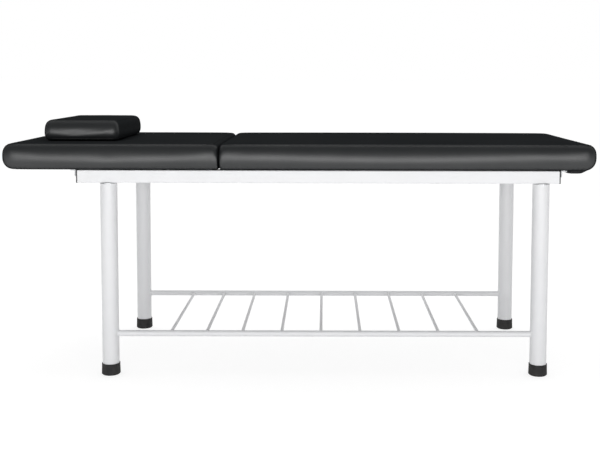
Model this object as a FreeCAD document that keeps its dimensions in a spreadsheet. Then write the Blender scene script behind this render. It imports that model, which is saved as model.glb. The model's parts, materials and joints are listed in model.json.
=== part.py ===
import FreeCAD, Part
import Sketcher
import os
import re

# Massage table with a lifting head section, in millimetres.
# +X runs from the head end to the foot end, +Z is up, and the origin is on the floor under
# the middle of the bed.

doc = FreeCAD.newDocument("massage_table")

# Driving dimensions
SIZES = {
    # Bed and cushions
    "bed_length": 1850,
    "bed_width": 650,
    "head_length": 672,
    "split_gap": 1,
    "cushion_height": 86,
    "plan_corner": 60,
    "seam_inset": 10,
    "seam_drop": 34,
    "seam_round": 4,
    "side_round": 60,
    "under_roll": 38,
    "split_round": 5,
    "cover_thickness": 1.2,
    "skin_gap": 0.2,
    "turn_under": 35,
    "board_thickness": 15,
    "board_inset": 41,
    "board_setback": 12,
    "board_gap": 0.2,
    "relief_angle": 19,
    "relief_gap": 1.5,
    "lip_depth": 12,
    "lip_length": 63,
    "lip_inset": 22,
    "lip_round": 9,
    "lip_land": 14,
    "seat_gap": 0.3,
    # Pillow
    "pillow_width": 240,
    "pillow_length": 405,
    "pillow_height": 66,
    "pillow_from_head": 95,
    "pillow_corner": 26,
    "pillow_top_round": 20,
    "pillow_under_round": 15,
    # Frame
    "rail_top": 655,
    "rail_size": 40,
    "rail_wall": 1.5,
    "rail_round": 3,
    "rail_past_head_leg": 94,
    "rail_past_foot_leg": 53,
    "cross_rail_width": 20,
    "hinge_rail_offset": 15,
    "plug_flange": 4,
    "plug_depth": 22,
    "plug_wall": 2.5,
    "plug_gap": 0.2,
    # Legs and rack
    "leg_from_head": 323,
    "leg_from_foot": 163,
    "leg_inset": 45,
    "leg_diameter": 53,
    "leg_wall": 1.5,
    "leg_plate": 3,
    "stub_length": 62,
    "stub_wall": 2,
    "stub_gap": 0.3,
    "leg_bolt_diameter": 8,
    "leg_bolt_drop": 34,
    "leg_bolt_grip": 12,
    "leg_bolt_head": 4,
    "leg_bolt_head_diameter": 12.8,
    "foot_wall": 2,
    "foot_base": 6,
    "foot_height": 35,
    "foot_edge": 3,
    "foot_flare": 1,
    "foot_gap": 0.1,
    "rack_height": 131,
    "rack_rail_diameter": 19,
    "rack_rail_wall": 1.5,
    "rack_bar_diameter": 10,
    "rack_bar_count": 9,
    "rack_bar_end": 190.5,
    "rack_close_bays": 2,
    "rack_close_share": 0.907,
    # Head hinge and prop
    "hinge_drop": 12,
    "hinge_plate_half": 25,
    "hinge_inset": 80,
    "hinge_pin_diameter": 8,
    "hinge_barrel": 8,
    "hinge_width": 24,
    "hinge_ear": 5,
    "hinge_ear_gap": 0.5,
    "hinge_plate": 3,
    "strap_length": 74,
    "pin_head": 2.5,
    "pin_head_diameter": 12,
    "fit_gap": 0.05,
    "prop_rod_setback": 13,
    "prop_inset": 48,
    "prop_arm_thickness": 5,
    "prop_arm_half": 8,
    "prop_rod_diameter": 12,
    "prop_rod_end_gap": 3,
    "bracket_length": 56,
    "bracket_plate": 3,
    "bracket_gap": 0.5,
    "bracket_eye": 9,
    "bracket_leaf": 15,
    "bracket_screw_half": 18,
    "strap_screw_near": 28,
    "strap_screw_far": 60,
    "rack_plate": 6,
    "rack_plate_drop": 19,
    "rack_tip_gap": 0.3,
    "rack_notch": 5,
    "rack_notch_gap": 0.3,
    "rack_ramp": 8,
    "rack_tooth_land": 1.1,
    "rack_end": 20,
    "rack_end_gap": 1,
    "first_notch_angle": 18,
    "notch_step": 6,
    "notch_count": 4,
    # Fixings
    "board_bolt_diameter": 6,
    "board_bolt_inset": 130,
    "board_bolt_head": 4,
    "board_bolt_head_diameter": 9.6,
    "board_bolt_grip": 11,
    "hole_gap": 0.2,
    "screw_diameter": 4,
    "screw_grip": 9,
    "screw_head": 1.8,
    "tab_thickness": 3,
    "tab_drop": 21,
    "tab_width": 36,
    "tab_foot": 14,
    "tab_gap": 4,
    "tool_margin": 1,
}

sheet = doc.addObject("Spreadsheet::Sheet", "Sizes")
for row, (alias, number) in enumerate(SIZES.items(), start=1):
    sheet.set(f"A{row}", alias)
    sheet.set(f"B{row}", str(number))
    sheet.setAlias(f"B{row}", alias)
doc.recompute()

# Heights and places worked out from the driving dimensions
HALF_LENGTH = "(bed_length / 2)"
HALF_WIDTH = "(bed_width / 2)"
SPLIT = "(head_length - bed_length / 2)"
CUSHION_BASE = "(rail_top + seat_gap)"
CUSHION_TOP = f"({CUSHION_BASE} + cushion_height)"
BOARD_BOTTOM = f"({CUSHION_BASE} + cover_thickness)"
BOARD_TOP = f"({BOARD_BOTTOM} + board_thickness)"
BOARD_SIDE = f"({HALF_WIDTH} - board_inset)"
RAIL_BOTTOM = "(rail_top - rail_size)"
HEAD_LEG = f"(leg_from_head - {HALF_LENGTH})"
FOOT_LEG = f"({HALF_LENGTH} - leg_from_foot)"
LEG_LINE = f"({HALF_WIDTH} - leg_inset)"
RAIL_HEAD = f"({HEAD_LEG} - rail_past_head_leg)"
RAIL_FOOT = f"({FOOT_LEG} + rail_past_foot_leg)"
RAIL_INSIDE = f"({LEG_LINE} - rail_size / 2)"
HINGE_HEIGHT = f"({BOARD_BOTTOM} - hinge_drop)"
HINGE_LINE = f"({LEG_LINE} - hinge_inset)"
PROP_LINE = f"({LEG_LINE} - prop_inset)"
PROP_ROD = f"({RAIL_HEAD} + cross_rail_width + prop_rod_setback)"
PROP_REACH = f"(({SPLIT} - {PROP_ROD}) / 2)"
PROP_PIVOT = f"({SPLIT} - {PROP_REACH})"
HINGE_RAIL = f"({SPLIT} + hinge_rail_offset)"
FOOT_RAIL = f"({RAIL_FOOT} - cross_rail_width)"
MIDDLE_RAIL = f"(({HINGE_RAIL} + {FOOT_RAIL}) / 2)"

nodes = []


def sizes(expression):
    """The expression with each size's name pointing at its cell."""
    return re.sub(r"[a-z][a-z_]+", lambda m: "Sizes." + m.group() if m.group() in SIZES else m.group(),
                  str(expression))


def value(expression):
    """The number that an expression of sizes gives now."""
    return float(sheet.evalExpression(sizes(expression)))


def bind(thing, **properties):
    """Ties each property of an object to an expression of sizes."""
    for name, expression in properties.items():
        thing.setExpression(name.replace("__", "."), sizes(expression))
    return thing


def seat(thing, x=0, y=0, z=0):
    """Places an object by three expressions."""
    return bind(thing, Placement__Base__x=x, Placement__Base__y=y, Placement__Base__z=z)


def keep(thing, label):
    """Names an object and marks it as one piece of the table."""
    thing.Label = label
    nodes.append(thing)
    return thing


def box(name, x, y, z):
    """A block between two expressions along each axis."""
    block = doc.addObject("Part::Box", name)
    bind(block, Length=f"{x[1]} - {x[0]}", Width=f"{y[1]} - {y[0]}", Height=f"{z[1]} - {z[0]}")
    return seat(block, x[0], y[0], z[0])


TURNS = {
    "x": FreeCAD.Rotation(FreeCAD.Vector(0, 1, 0), 90),
    "y": FreeCAD.Rotation(FreeCAD.Vector(1, 0, 0), -90),
    "z": FreeCAD.Rotation(),
}


def rod(name, axis, start, radius, length):
    """A cylinder that runs from its start along +X, +Y or +Z."""
    cylinder = doc.addObject("Part::Cylinder", name)
    cylinder.Placement = FreeCAD.Placement(FreeCAD.Vector(), TURNS[axis])
    bind(cylinder, Radius=radius, Height=length)
    return seat(cylinder, *start)


def join(name, *pieces):
    """One object of the given pieces: a single solid where they meet."""
    fused = doc.addObject("Part::MultiFuse", name)
    fused.Shapes = list(pieces)
    return fused


def group(name, pieces):
    """Several separate solids under one name."""
    bundle = doc.addObject("Part::Compound", name)
    bundle.Links = list(pieces)
    return bundle


def cut(name, base, *tools):
    """The base with every tool taken out of it."""
    result = doc.addObject("Part::Cut", name)
    result.Base = base
    result.Tool = tools[0] if len(tools) == 1 else join(name + "_tools", *tools)
    return result


# Sketches

def new_body(name):
    return doc.addObject("PartDesign::Body", name)


def new_sketch(body, name, role, offset=0):
    """A sketch on one of the body's own origin planes, shifted along its normal."""
    sketch = body.newObject("Sketcher::SketchObject", name)
    plane = next(f for f in body.Origin.OriginFeatures if f.Role == role)
    sketch.AttachmentSupport = [(plane, "")]
    sketch.MapMode = "FlatFace"
    return bind(sketch, AttachmentOffset__Base__z=offset)


def hold(sketch, kind, *places, to):
    """A constraint whose value is an expression of sizes."""
    index = sketch.addConstraint(Sketcher.Constraint(kind, *places, value(to)))
    sketch.setExpression(f"Constraints[{index}]", sizes(to))


def outline(sketch, corners):
    """A closed line through corners, each tied to a pair of expressions."""
    points = [FreeCAD.Vector(value(across), value(up), 0) for across, up in corners]
    first = sketch.GeometryCount
    count = len(points)
    for i in range(count):
        sketch.addGeometry(Part.LineSegment(points[i], points[(i + 1) % count]), False)
    for i in range(count):
        sketch.addConstraint(Sketcher.Constraint("Coincident", first + i, 2, first + (i + 1) % count, 1))
    for i, (across, up) in enumerate(corners):
        hold(sketch, "DistanceX", -1, 1, first + i, 1, to=across)
        hold(sketch, "DistanceY", -1, 1, first + i, 1, to=up)


def rectangle(sketch, across, up):
    outline(sketch, [(across[0], up[0]), (across[1], up[0]), (across[1], up[1]), (across[0], up[1])])


def pad(body, sketch, length):
    feature = body.newObject("PartDesign::Pad", sketch.Name + "_pad")
    feature.Profile = sketch
    bind(feature, Length=length)
    doc.recompute()
    return feature


def edges_where(feature, test):
    """Names of the feature's edges for which a test of the edge holds."""
    return [f"Edge{i}" for i, edge in enumerate(feature.Shape.Edges, start=1) if test(edge)]


def fillet(body, name, feature, test, radius):
    rounded = body.newObject("PartDesign::Fillet", name)
    rounded.Base = (feature, edges_where(feature, test))
    bind(rounded, Radius=radius)
    doc.recompute()
    return rounded


def is_at(edge, axis, place):
    """True where an edge lies in the plane that an axis and an expression give."""
    low, high = {"x": (edge.BoundBox.XMin, edge.BoundBox.XMax), "y": (edge.BoundBox.YMin, edge.BoundBox.YMax),
                 "z": (edge.BoundBox.ZMin, edge.BoundBox.ZMax)}[axis]
    return abs(low - value(place)) < 0.01 and abs(high - value(place)) < 0.01


# Cushions

def cushion_form(name, end, side, inset):
    """The padded outer form of one cushion, or the same form an inset further in."""
    end_x = f"({end} - {side} * {inset})"
    split_x = f"({SPLIT} + {side} * (split_gap / 2 + {inset}))"
    base = f"({CUSHION_BASE} + {inset})"
    top = f"({CUSHION_TOP} - {inset})"
    reach = f"({HALF_WIDTH} - {inset})"
    body = new_body(name)
    plan = new_sketch(body, name + "_plan", "XY_Plane", base)
    rectangle(plan, (split_x, end_x), (f"-{reach}", reach))
    block = pad(body, plan, f"{top} - {base}")
    corners = fillet(body, name + "_corners", block,
                     lambda e: is_at(e, "x", end_x) and e.BoundBox.ZLength > 1, f"plan_corner - {inset}")
    slope = body.newObject("PartDesign::Chamfer", name + "_slope")
    slope.Base = (corners, edges_where(corners, lambda e: is_at(e, "z", top) and not is_at(e, "x", split_x)))
    slope.ChamferType = "Two distances"
    bind(slope, Size="seam_drop", Size2="seam_inset")
    doc.recompute()
    under = fillet(body, name + "_under", slope,
                   lambda e: is_at(e, "z", base) and not is_at(e, "x", split_x), f"under_roll - {inset}")
    rim = f"({top} - seam_drop)"
    roll = fillet(body, name + "_roll", under, lambda e: is_at(e, "z", rim), "side_round")
    seam = fillet(body, name + "_seam", roll,
                  lambda e: is_at(e, "z", top) and not is_at(e, "x", split_x), f"seam_round - {inset} / 2")
    fillet(body, name + "_split", seam,
           lambda e: is_at(e, "x", split_x) and not is_at(e, "z", base), f"split_round - {inset}")
    return body


def lip_form(name, inset):
    """The soft roll under the foot end, past the ends of the rails."""
    start = f"({HALF_LENGTH} - lip_inset - lip_length + {inset})"
    end = f"({HALF_LENGTH} - lip_inset - {inset})"
    side = f"({HALF_WIDTH} - under_roll - {inset})"
    bottom = f"({CUSHION_BASE} - lip_depth + {inset})"
    body = new_body(name)
    plan = new_sketch(body, name + "_plan", "XY_Plane", bottom)
    rectangle(plan, (start, end), (f"-{side}", side))
    block = pad(body, plan, f"{BOARD_BOTTOM} + lip_round - {bottom}")
    fillet(body, name + "_round", block,
           lambda e: e.BoundBox.ZLength > 1 or is_at(e, "z", bottom), f"lip_round - {inset}")
    return body


def board_span(end, side):
    """The board's two ends along X: at the split and at the outer end."""
    return f"({SPLIT} + {side} * board_setback)", f"({end} - {side} * board_inset)"


def ordered(first, second):
    """Two expressions, lowest first."""
    return (first, second) if value(first) < value(second) else (second, first)


def drill(name, fixings, gap):
    """Upright holes for the fixings that go up into a board."""
    tools = []
    for i, (x, y, diameter) in enumerate(fixings):
        low = f"({CUSHION_BASE} - tool_margin)"
        radius = f"{diameter} / 2 + {gap}"
        tools.append(rod(f"{name}_hole_{i}", "z", (x, y, low), radius,
                         f"{BOARD_BOTTOM} + board_bolt_grip - {low}"))
    return tools


def cushion(name, end, side, opening_end, fixings):
    """One padded section: plywood board, foam, vinyl cover and the dust cover under the board."""
    board_split, board_end = board_span(end, side)
    skin = cushion_form(name + "_outer", end, side, "0 * cover_thickness")
    hollow = cushion_form(name + "_hollow", end, side, "cover_thickness")
    core = cushion_form(name + "_core", end, side, "(cover_thickness + skin_gap)")
    if side > 0:
        skin = join(name + "_outer_lip", skin, lip_form(name + "_lip", "0 * cover_thickness"))
        hollow = join(name + "_hollow_lip", hollow, lip_form(name + "_lip_hollow", "cover_thickness"))
        core = join(name + "_core_lip", core, lip_form(name + "_lip_core", "(cover_thickness + skin_gap)"))

    opening_side = f"({BOARD_SIDE} - turn_under)"
    opening_split = f"({board_split} + {side} * turn_under)"
    opening = box(name + "_opening", ordered(opening_split, opening_end),
                  (f"-{opening_side}", opening_side),
                  (f"({CUSHION_BASE} - tool_margin)", f"({BOARD_BOTTOM} + tool_margin)"))
    keep(cut(name + "_cover_cut", skin, hollow, opening, *drill(name + "_cover", fixings, "hole_gap")),
         name + "_cover")

    dust_span = ordered(f"({opening_split} + {side} * skin_gap)", f"({opening_end} - {side} * skin_gap)")
    dust_side = f"({opening_side} - skin_gap)"
    dust = box(name + "_dust", dust_span, (f"-{dust_side}", dust_side), (CUSHION_BASE, BOARD_BOTTOM))
    keep(cut(name + "_dust_cut", dust, *drill(name + "_dust", fixings, "hole_gap")), name + "_dust_cover")

    body = new_body(name + "_panel")
    plan = new_sketch(body, name + "_panel_plan", "XY_Plane", BOARD_BOTTOM)
    rectangle(plan, (board_split, board_end), (f"-{BOARD_SIDE}", BOARD_SIDE))
    panel = pad(body, plan, "board_thickness")
    fillet(body, name + "_panel_corners", panel,
           lambda e: is_at(e, "x", board_end) and e.BoundBox.ZLength > 1, "plan_corner - board_inset")
    keep(cut(name + "_board_cut", body, *drill(name + "_board", fixings, "0 * hole_gap")), name + "_board")

    pocket_side = f"({BOARD_SIDE} + board_gap)"
    pocket = box(name + "_pocket", ordered(SPLIT, f"({board_end} + {side} * board_gap)"),
                 (f"-{pocket_side}", pocket_side),
                 (f"({BOARD_BOTTOM} - board_gap)", f"({BOARD_TOP} + board_gap)"))
    keep(cut(name + "_foam_cut", core, pocket, relief(name, side)), name + "_foam")


def relief(name, side):
    """The wedge that the foam leaves free over the hinge, so that it can be squeezed there."""
    top = f"({CUSHION_TOP} + tool_margin)"
    body = new_body(name + "_relief")
    sketch = new_sketch(body, name + "_relief_side", "XZ_Plane", f"-{HALF_WIDTH} - tool_margin")
    outline(sketch, [
        (f"{SPLIT} - {side} * tool_margin", HINGE_HEIGHT),
        (f"{SPLIT} + {side} * relief_gap", HINGE_HEIGHT),
        (f"{SPLIT} + {side} * (relief_gap + ({top} - {HINGE_HEIGHT}) * tan(relief_angle))", top),
        (f"{SPLIT} - {side} * tool_margin", top),
    ])
    pad(body, sketch, "bed_width + 2 * tool_margin")
    return body


# Pillow

def pillow_form(name, inset):
    centre = f"(pillow_from_head + pillow_width / 2 - {HALF_LENGTH})"
    across = f"(pillow_width / 2 - {inset})"
    along = f"(pillow_length / 2 - {inset})"
    base = f"({CUSHION_TOP} + seat_gap + {inset})"
    top = f"({CUSHION_TOP} + seat_gap + pillow_height - {inset})"
    body = new_body(name)
    plan = new_sketch(body, name + "_plan", "XY_Plane", base)
    rectangle(plan, (f"({centre} - {across})", f"({centre} + {across})"), (f"-{along}", along))
    block = pad(body, plan, f"{top} - {base}")
    corners = fillet(body, name + "_corners", block, lambda e: e.BoundBox.ZLength > 1,
                     f"pillow_corner - {inset}")
    upper = fillet(body, name + "_upper", corners, lambda e: is_at(e, "z", top), f"pillow_top_round - {inset}")
    fillet(body, name + "_under", upper, lambda e: is_at(e, "z", base), f"pillow_under_round - {inset}")
    return body


def pillow():
    skin = pillow_form("pillow_outer", "0 * cover_thickness")
    hollow = pillow_form("pillow_hollow", "cover_thickness")
    keep(cut("pillow_cover_cut", skin, hollow), "pillow_cover")
    keep(pillow_form("pillow_core", "(cover_thickness + skin_gap)"), "pillow_foam")


# Frame

def square_tube(name, role, across, up, start, length):
    """A rectangular steel tube with rounded corners, along the normal of a plane."""
    body = new_body(name)
    sketch = new_sketch(body, name + "_section", role, start)
    rectangle(sketch, across, up)
    rectangle(sketch, (f"{across[0]} + rail_wall", f"{across[1]} - rail_wall"),
              (f"{up[0]} + rail_wall", f"{up[1]} - rail_wall"))
    block = pad(body, sketch, length)
    outer = [value(up[0]), value(up[1])]
    long_edge = value(length) - 0.01

    def is_outer(edge):
        box_of = edge.BoundBox
        flat = box_of.ZLength < 0.01 and edge.Length > long_edge
        return flat and min(abs(box_of.ZMin - place) for place in outer) < 0.01

    fillet(body, name + "_round", block, is_outer, "rail_round")
    return body


def side_rails():
    for label, side in (("side_rail_front", "-"), ("side_rail_rear", "")):
        middle = f"({side}{LEG_LINE})"
        keep(square_tube(label, "YZ_Plane", (f"({middle} - rail_size / 2)", f"({middle} + rail_size / 2)"),
                         (RAIL_BOTTOM, "rail_top"), RAIL_HEAD, f"{RAIL_FOOT} - {RAIL_HEAD}"), label)


CROSS_RAILS = {
    "head_cross_rail": RAIL_HEAD,
    "hinge_cross_rail": HINGE_RAIL,
    "middle_cross_rail": MIDDLE_RAIL,
    "foot_cross_rail": FOOT_RAIL,
}
BOLT_LINE = f"({LEG_LINE} - board_bolt_inset)"
BOLTED_RAILS = ("hinge_cross_rail", "middle_cross_rail", "foot_cross_rail")


def cross_rails():
    for label, start in CROSS_RAILS.items():
        bar = square_tube(label + "_tube", "XZ_Plane", (start, f"({start} + cross_rail_width)"),
                          (RAIL_BOTTOM, "rail_top"), f"-{RAIL_INSIDE}", f"2 * {RAIL_INSIDE}")
        if label not in BOLTED_RAILS:
            keep(bar, label)
            continue
        holes = []
        for side in ("-", ""):
            place = (f"{start} + cross_rail_width / 2", f"{side}{BOLT_LINE}", f"{RAIL_BOTTOM} - tool_margin")
            holes.append(rod(f"{label}_hole", "z", place, "board_bolt_diameter / 2 + hole_gap",
                             "rail_size + 2 * tool_margin"))
        keep(cut(label + "_cut", bar, *holes), label)


def plug(name):
    """A rail end plug: a flange the size of the rail on a hollow stub that goes into it."""
    body = new_body(name)
    face = new_sketch(body, name + "_face", "YZ_Plane", "-plug_flange")
    rectangle(face, ("-rail_size / 2", "rail_size / 2"), ("-rail_size / 2", "rail_size / 2"))
    flange = pad(body, face, "plug_flange")
    fillet(body, name + "_edge", flange, lambda e: is_at(e, "x", "-plug_flange"), "rail_wall")
    stub = new_sketch(body, name + "_stub", "YZ_Plane", 0)
    outside = "rail_size / 2 - rail_wall - plug_gap"
    inside = f"{outside} - plug_wall"
    rectangle(stub, (f"-({outside})", outside), (f"-({outside})", outside))
    rectangle(stub, (f"-({inside})", inside), (f"-({inside})", inside))
    block = pad(body, stub, "plug_depth")
    corner = value(outside)
    fillet(body, name + "_stub_round", block,
           lambda e: e.BoundBox.XLength > value("plug_depth") - 0.01
           and abs(abs(e.BoundBox.YMin) - corner) < 0.01, "rail_round - rail_wall")
    return body


def rail_plugs():
    plugs = []
    for end, x, turn in (("head", RAIL_HEAD, 0), ("foot", RAIL_FOOT, 180)):
        for side in ("-", ""):
            body = plug(f"{end}_plug")
            body.Placement.Rotation = FreeCAD.Rotation(FreeCAD.Vector(0, 0, 1), turn)
            plugs.append(seat(body, x, f"{side}{LEG_LINE}", f"{RAIL_BOTTOM} + rail_size / 2"))
    keep(group("plugs", plugs), "rail_end_plugs")


# Legs, feet and rack

CORNERS = {
    "head_front": (HEAD_LEG, "-"),
    "head_rear": (HEAD_LEG, ""),
    "foot_front": (FOOT_LEG, "-"),
    "foot_rear": (FOOT_LEG, ""),
}
LEG_TOP = f"({RAIL_BOTTOM} - leg_plate)"
LEG_RADIUS = "leg_diameter / 2"
BOLT_HEIGHT = f"({LEG_TOP} - leg_bolt_drop)"


def leg_bolt(name, x, side, radius, extra):
    """A rod along Y through the inner wall of a leg, from inside the table outwards."""
    inner = f"({LEG_LINE} - {LEG_RADIUS} - {extra})"
    start = f"-({inner} + leg_bolt_grip)" if side == "-" else inner
    return rod(name, "y", (x, start, BOLT_HEIGHT), radius, f"leg_bolt_grip + {extra}")


def leg(corner, x, side):
    y = f"{side}{LEG_LINE}"
    length = f"{LEG_TOP} - foot_base"
    outside = rod(corner + "_tube", "z", (x, y, "foot_base"), LEG_RADIUS, length)
    inside = rod(corner + "_bore", "z", (x, y, "foot_base"), f"{LEG_RADIUS} - leg_wall", length)
    hole = leg_bolt(corner + "_bolt_hole", x, side, "leg_bolt_diameter / 2 + hole_gap", "tool_margin")
    keep(cut(corner + "_leg_cut", outside, inside, hole), corner + "_leg")

    stub_radius = f"({LEG_RADIUS} - leg_wall - stub_gap)"
    plate = rod(corner + "_plate", "z", (x, y, LEG_TOP), LEG_RADIUS, "leg_plate")
    stub_low = f"({LEG_TOP} - stub_length)"
    stub = rod(corner + "_stub", "z", (x, y, stub_low), stub_radius, "stub_length")
    bore = rod(corner + "_stub_bore", "z", (x, y, stub_low), f"{stub_radius} - stub_wall", "stub_length")
    stub_hole = leg_bolt(corner + "_stub_hole", x, side, "leg_bolt_diameter / 2 + hole_gap", "tool_margin")
    return cut(corner + "_stub_cut", join(corner + "_stub_plate", plate, stub), bore, stub_hole)


def bolt_for_leg(corner, x, side):
    shank = leg_bolt(corner + "_bolt", x, side, "leg_bolt_diameter / 2", "0 * leg_bolt_grip")
    inner = f"({LEG_LINE} - {LEG_RADIUS})"
    start = f"-{inner}" if side == "-" else f"{inner} - leg_bolt_head"
    head = rod(corner + "_bolt_head", "y", (x, start, BOLT_HEIGHT), "leg_bolt_head_diameter / 2",
               "leg_bolt_head")
    return join(corner + "_bolt_whole", shank, head)


def rubber_foot(corner, x, side):
    """A turned rubber cup under the leg tube, a little wider at the floor."""
    body = new_body(corner + "_cup")
    sketch = new_sketch(body, corner + "_cup_side", "XZ_Plane")
    inside = f"({LEG_RADIUS} + foot_gap)"
    outside = f"({inside} + foot_wall)"
    outline(sketch, [
        (0, 0),
        (f"{outside} + foot_flare - foot_edge", 0),
        (f"{outside} + foot_flare", "foot_edge"),
        (outside, "foot_height"),
        (inside, "foot_height"),
        (inside, "foot_base"),
        (0, "foot_base"),
    ])
    turned = body.newObject("PartDesign::Revolution", corner + "_cup_turned")
    turned.Profile = sketch
    turned.ReferenceAxis = (sketch, ["V_Axis"])
    turned.Angle = 360
    doc.recompute()
    keep(seat(body, x, f"{side}{LEG_LINE}", 0), corner + "_rubber_foot")


def legs():
    stubs = []
    bolts = []
    for corner, (x, side) in CORNERS.items():
        stubs.append(leg(corner, x, side))
        bolts.append(bolt_for_leg(corner, x, side))
        rubber_foot(corner, x, side)
    keep(group("stubs", stubs), "leg_stubs")
    keep(group("bolts", bolts), "leg_bolts")


def rack():
    """Two long tubes between the legs with round bars across them, closer together at the head end."""
    radius = "rack_rail_diameter / 2"
    spacing = f"({FOOT_LEG} - {HEAD_LEG})"
    for label, side in (("rack_rail_front", "-"), ("rack_rail_rear", "")):
        y = f"{side}{LEG_LINE}"
        bar = rod(label + "_bar", "x", (HEAD_LEG, y, "rack_height"), radius, spacing)
        ends = [rod(label + "_cope", "z", (x, y, "foot_base"), LEG_RADIUS, "rack_height + rack_rail_diameter")
                for x in (HEAD_LEG, FOOT_LEG)]
        bore = rod(label + "_bore", "x", (HEAD_LEG, y, "rack_height"), f"{radius} - rack_rail_wall", spacing)
        keep(cut(label + "_cut", bar, bore, *ends), label)

    bays = "(rack_bar_count - 1 - rack_close_bays * (1 - rack_close_share))"
    bay = f"(({spacing} - 2 * rack_bar_end) / {bays})"
    for i in range(int(value("rack_bar_count"))):
        label = f"rack_bar_{i + 1}"
        steps = f"({i} - (1 - rack_close_share) * min({i}; rack_close_bays))"
        x = f"({HEAD_LEG} + rack_bar_end + {bay} * {steps})"
        bar = rod(label + "_bar", "y", (x, f"-{LEG_LINE}", "rack_height"), "rack_bar_diameter / 2",
                  f"2 * {LEG_LINE}")
        sides = [rod(label + "_cope", "x", (f"{x} - rack_bar_diameter", f"{side}{LEG_LINE}", "rack_height"),
                     radius, "2 * rack_bar_diameter") for side in ("-", "")]
        keep(cut(label + "_cut", bar, *sides), label)


# Head hinge

HINGE_EAR_INSIDE = "(hinge_width / 2 + hinge_ear_gap)"
HINGE_EAR_OUTSIDE = f"({HINGE_EAR_INSIDE} + hinge_ear)"
PIN_RADIUS = "hinge_pin_diameter / 2"
PIN_HEAD_RADIUS = "pin_head_diameter / 2"


def hinge(end, side):
    """One hinge set: a base with two ears on the hinge rail, a strap under the head board and a pin."""
    y = f"({side}{HINGE_LINE})"
    centre = (SPLIT, y, HINGE_HEIGHT)
    plate = box(f"{end}_hinge_plate", (f"({HINGE_RAIL} - hinge_plate)", HINGE_RAIL),
                (f"({y} - hinge_plate_half)", f"({y} + hinge_plate_half)"),
                (f"({RAIL_BOTTOM} + rail_round)", f"({HINGE_HEIGHT} + hinge_barrel)"))
    ears = []
    for low, high in ((f"({y} - {HINGE_EAR_OUTSIDE})", f"({y} - {HINGE_EAR_INSIDE})"),
                      (f"({y} + {HINGE_EAR_INSIDE})", f"({y} + {HINGE_EAR_OUTSIDE})")):
        ears.append(rod(f"{end}_hinge_ear_eye", "y", (SPLIT, low, HINGE_HEIGHT), "hinge_barrel", "hinge_ear"))
        ears.append(box(f"{end}_hinge_ear", (SPLIT, HINGE_RAIL), (low, high),
                        (f"({HINGE_HEIGHT} - hinge_barrel)", f"({HINGE_HEIGHT} + hinge_barrel)")))
    bore_start = (SPLIT, f"{y} - hinge_plate_half", HINGE_HEIGHT)
    bore = rod(f"{end}_hinge_bore", "y", bore_start, f"{PIN_RADIUS} + fit_gap", "2 * hinge_plate_half")
    keep(cut(f"{end}_hinge_base_cut", join(f"{end}_hinge_body", plate, *ears), bore), f"hinge_base_{end}")

    barrel = rod(f"{end}_strap_barrel", "y", (SPLIT, f"{y} - hinge_width / 2", HINGE_HEIGHT), "hinge_barrel",
                 "hinge_width")
    leaf = box(f"{end}_strap_leaf", (f"({SPLIT} - strap_length)", SPLIT),
               (f"({y} - hinge_width / 2)", f"({y} + hinge_width / 2)"),
               (f"({CUSHION_BASE} - hinge_plate)", CUSHION_BASE))
    strap_bore = rod(f"{end}_strap_bore", "y", bore_start, f"{PIN_RADIUS} + fit_gap", "2 * hinge_plate_half")
    holes = leaf_holes(f"{end}_strap", [(x, yy) for x, yy, _ in STRAP_FIXINGS if yy == y])
    keep(cut(f"{end}_strap_cut", join(f"{end}_strap_body", barrel, leaf), strap_bore, *holes),
         f"hinge_strap_{end}")

    half = f"({HINGE_EAR_OUTSIDE} + hinge_plate / 2)"
    shank = rod(f"{end}_pin_shank", "y", (SPLIT, f"{y} - {half}", HINGE_HEIGHT), PIN_RADIUS, f"2 * {half}")
    head = rod(f"{end}_pin_head", "y", (SPLIT, f"{y} - {half} - pin_head", HINGE_HEIGHT), PIN_HEAD_RADIUS,
               "pin_head")
    keep(join(f"{end}_pin", shank, head), f"hinge_pin_{end}")


def leaf_holes(name, places):
    """Screw holes through a steel leaf under a board."""
    return [rod(f"{name}_screw_hole", "z", (x, y, f"{CUSHION_BASE} - hinge_plate - tool_margin"),
                "screw_diameter / 2 + hole_gap", "hinge_plate + 2 * tool_margin") for x, y in places]


# Head prop

BRACKET_INSIDE = f"({PROP_LINE} + prop_arm_thickness + bracket_gap)"
BRACKET_OUTSIDE = f"({BRACKET_INSIDE} + bracket_plate)"


def mirrored(side, low, high):
    """A span on the +Y side, or its mirror image on the front side."""
    return (f"(-{high})", f"(-{low})") if side == "-" else (low, high)


def prop_bracket(end, side):
    ear_span = mirrored(side, BRACKET_INSIDE, BRACKET_OUTSIDE)
    leaf_span = mirrored(side, BRACKET_INSIDE, f"({BRACKET_OUTSIDE} + bracket_leaf)")
    eye = rod(f"{end}_bracket_eye", "y", (PROP_PIVOT, ear_span[0], HINGE_HEIGHT), "bracket_eye", "bracket_plate")
    ear = box(f"{end}_bracket_ear", (f"({PROP_PIVOT} - bracket_eye)", f"({PROP_PIVOT} + bracket_eye)"), ear_span,
              (HINGE_HEIGHT, CUSHION_BASE))
    leaf = box(f"{end}_bracket_leaf",
               (f"({PROP_PIVOT} - bracket_length / 2)", f"({PROP_PIVOT} + bracket_length / 2)"),
               leaf_span, (f"({CUSHION_BASE} - bracket_plate)", CUSHION_BASE))
    bore = rod(f"{end}_bracket_bore", "y", (PROP_PIVOT, f"{ear_span[0]} - tool_margin", HINGE_HEIGHT),
               f"{PIN_RADIUS} + fit_gap", "bracket_plate + 2 * tool_margin")
    places = [(x, y) for x, y, _ in BRACKET_FIXINGS if y.startswith("(-") == (side == "-")]
    keep(cut(f"{end}_bracket_cut", join(f"{end}_bracket_body", eye, ear, leaf), bore,
             *leaf_holes(f"{end}_bracket", places)), f"prop_bracket_{end}")


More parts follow.
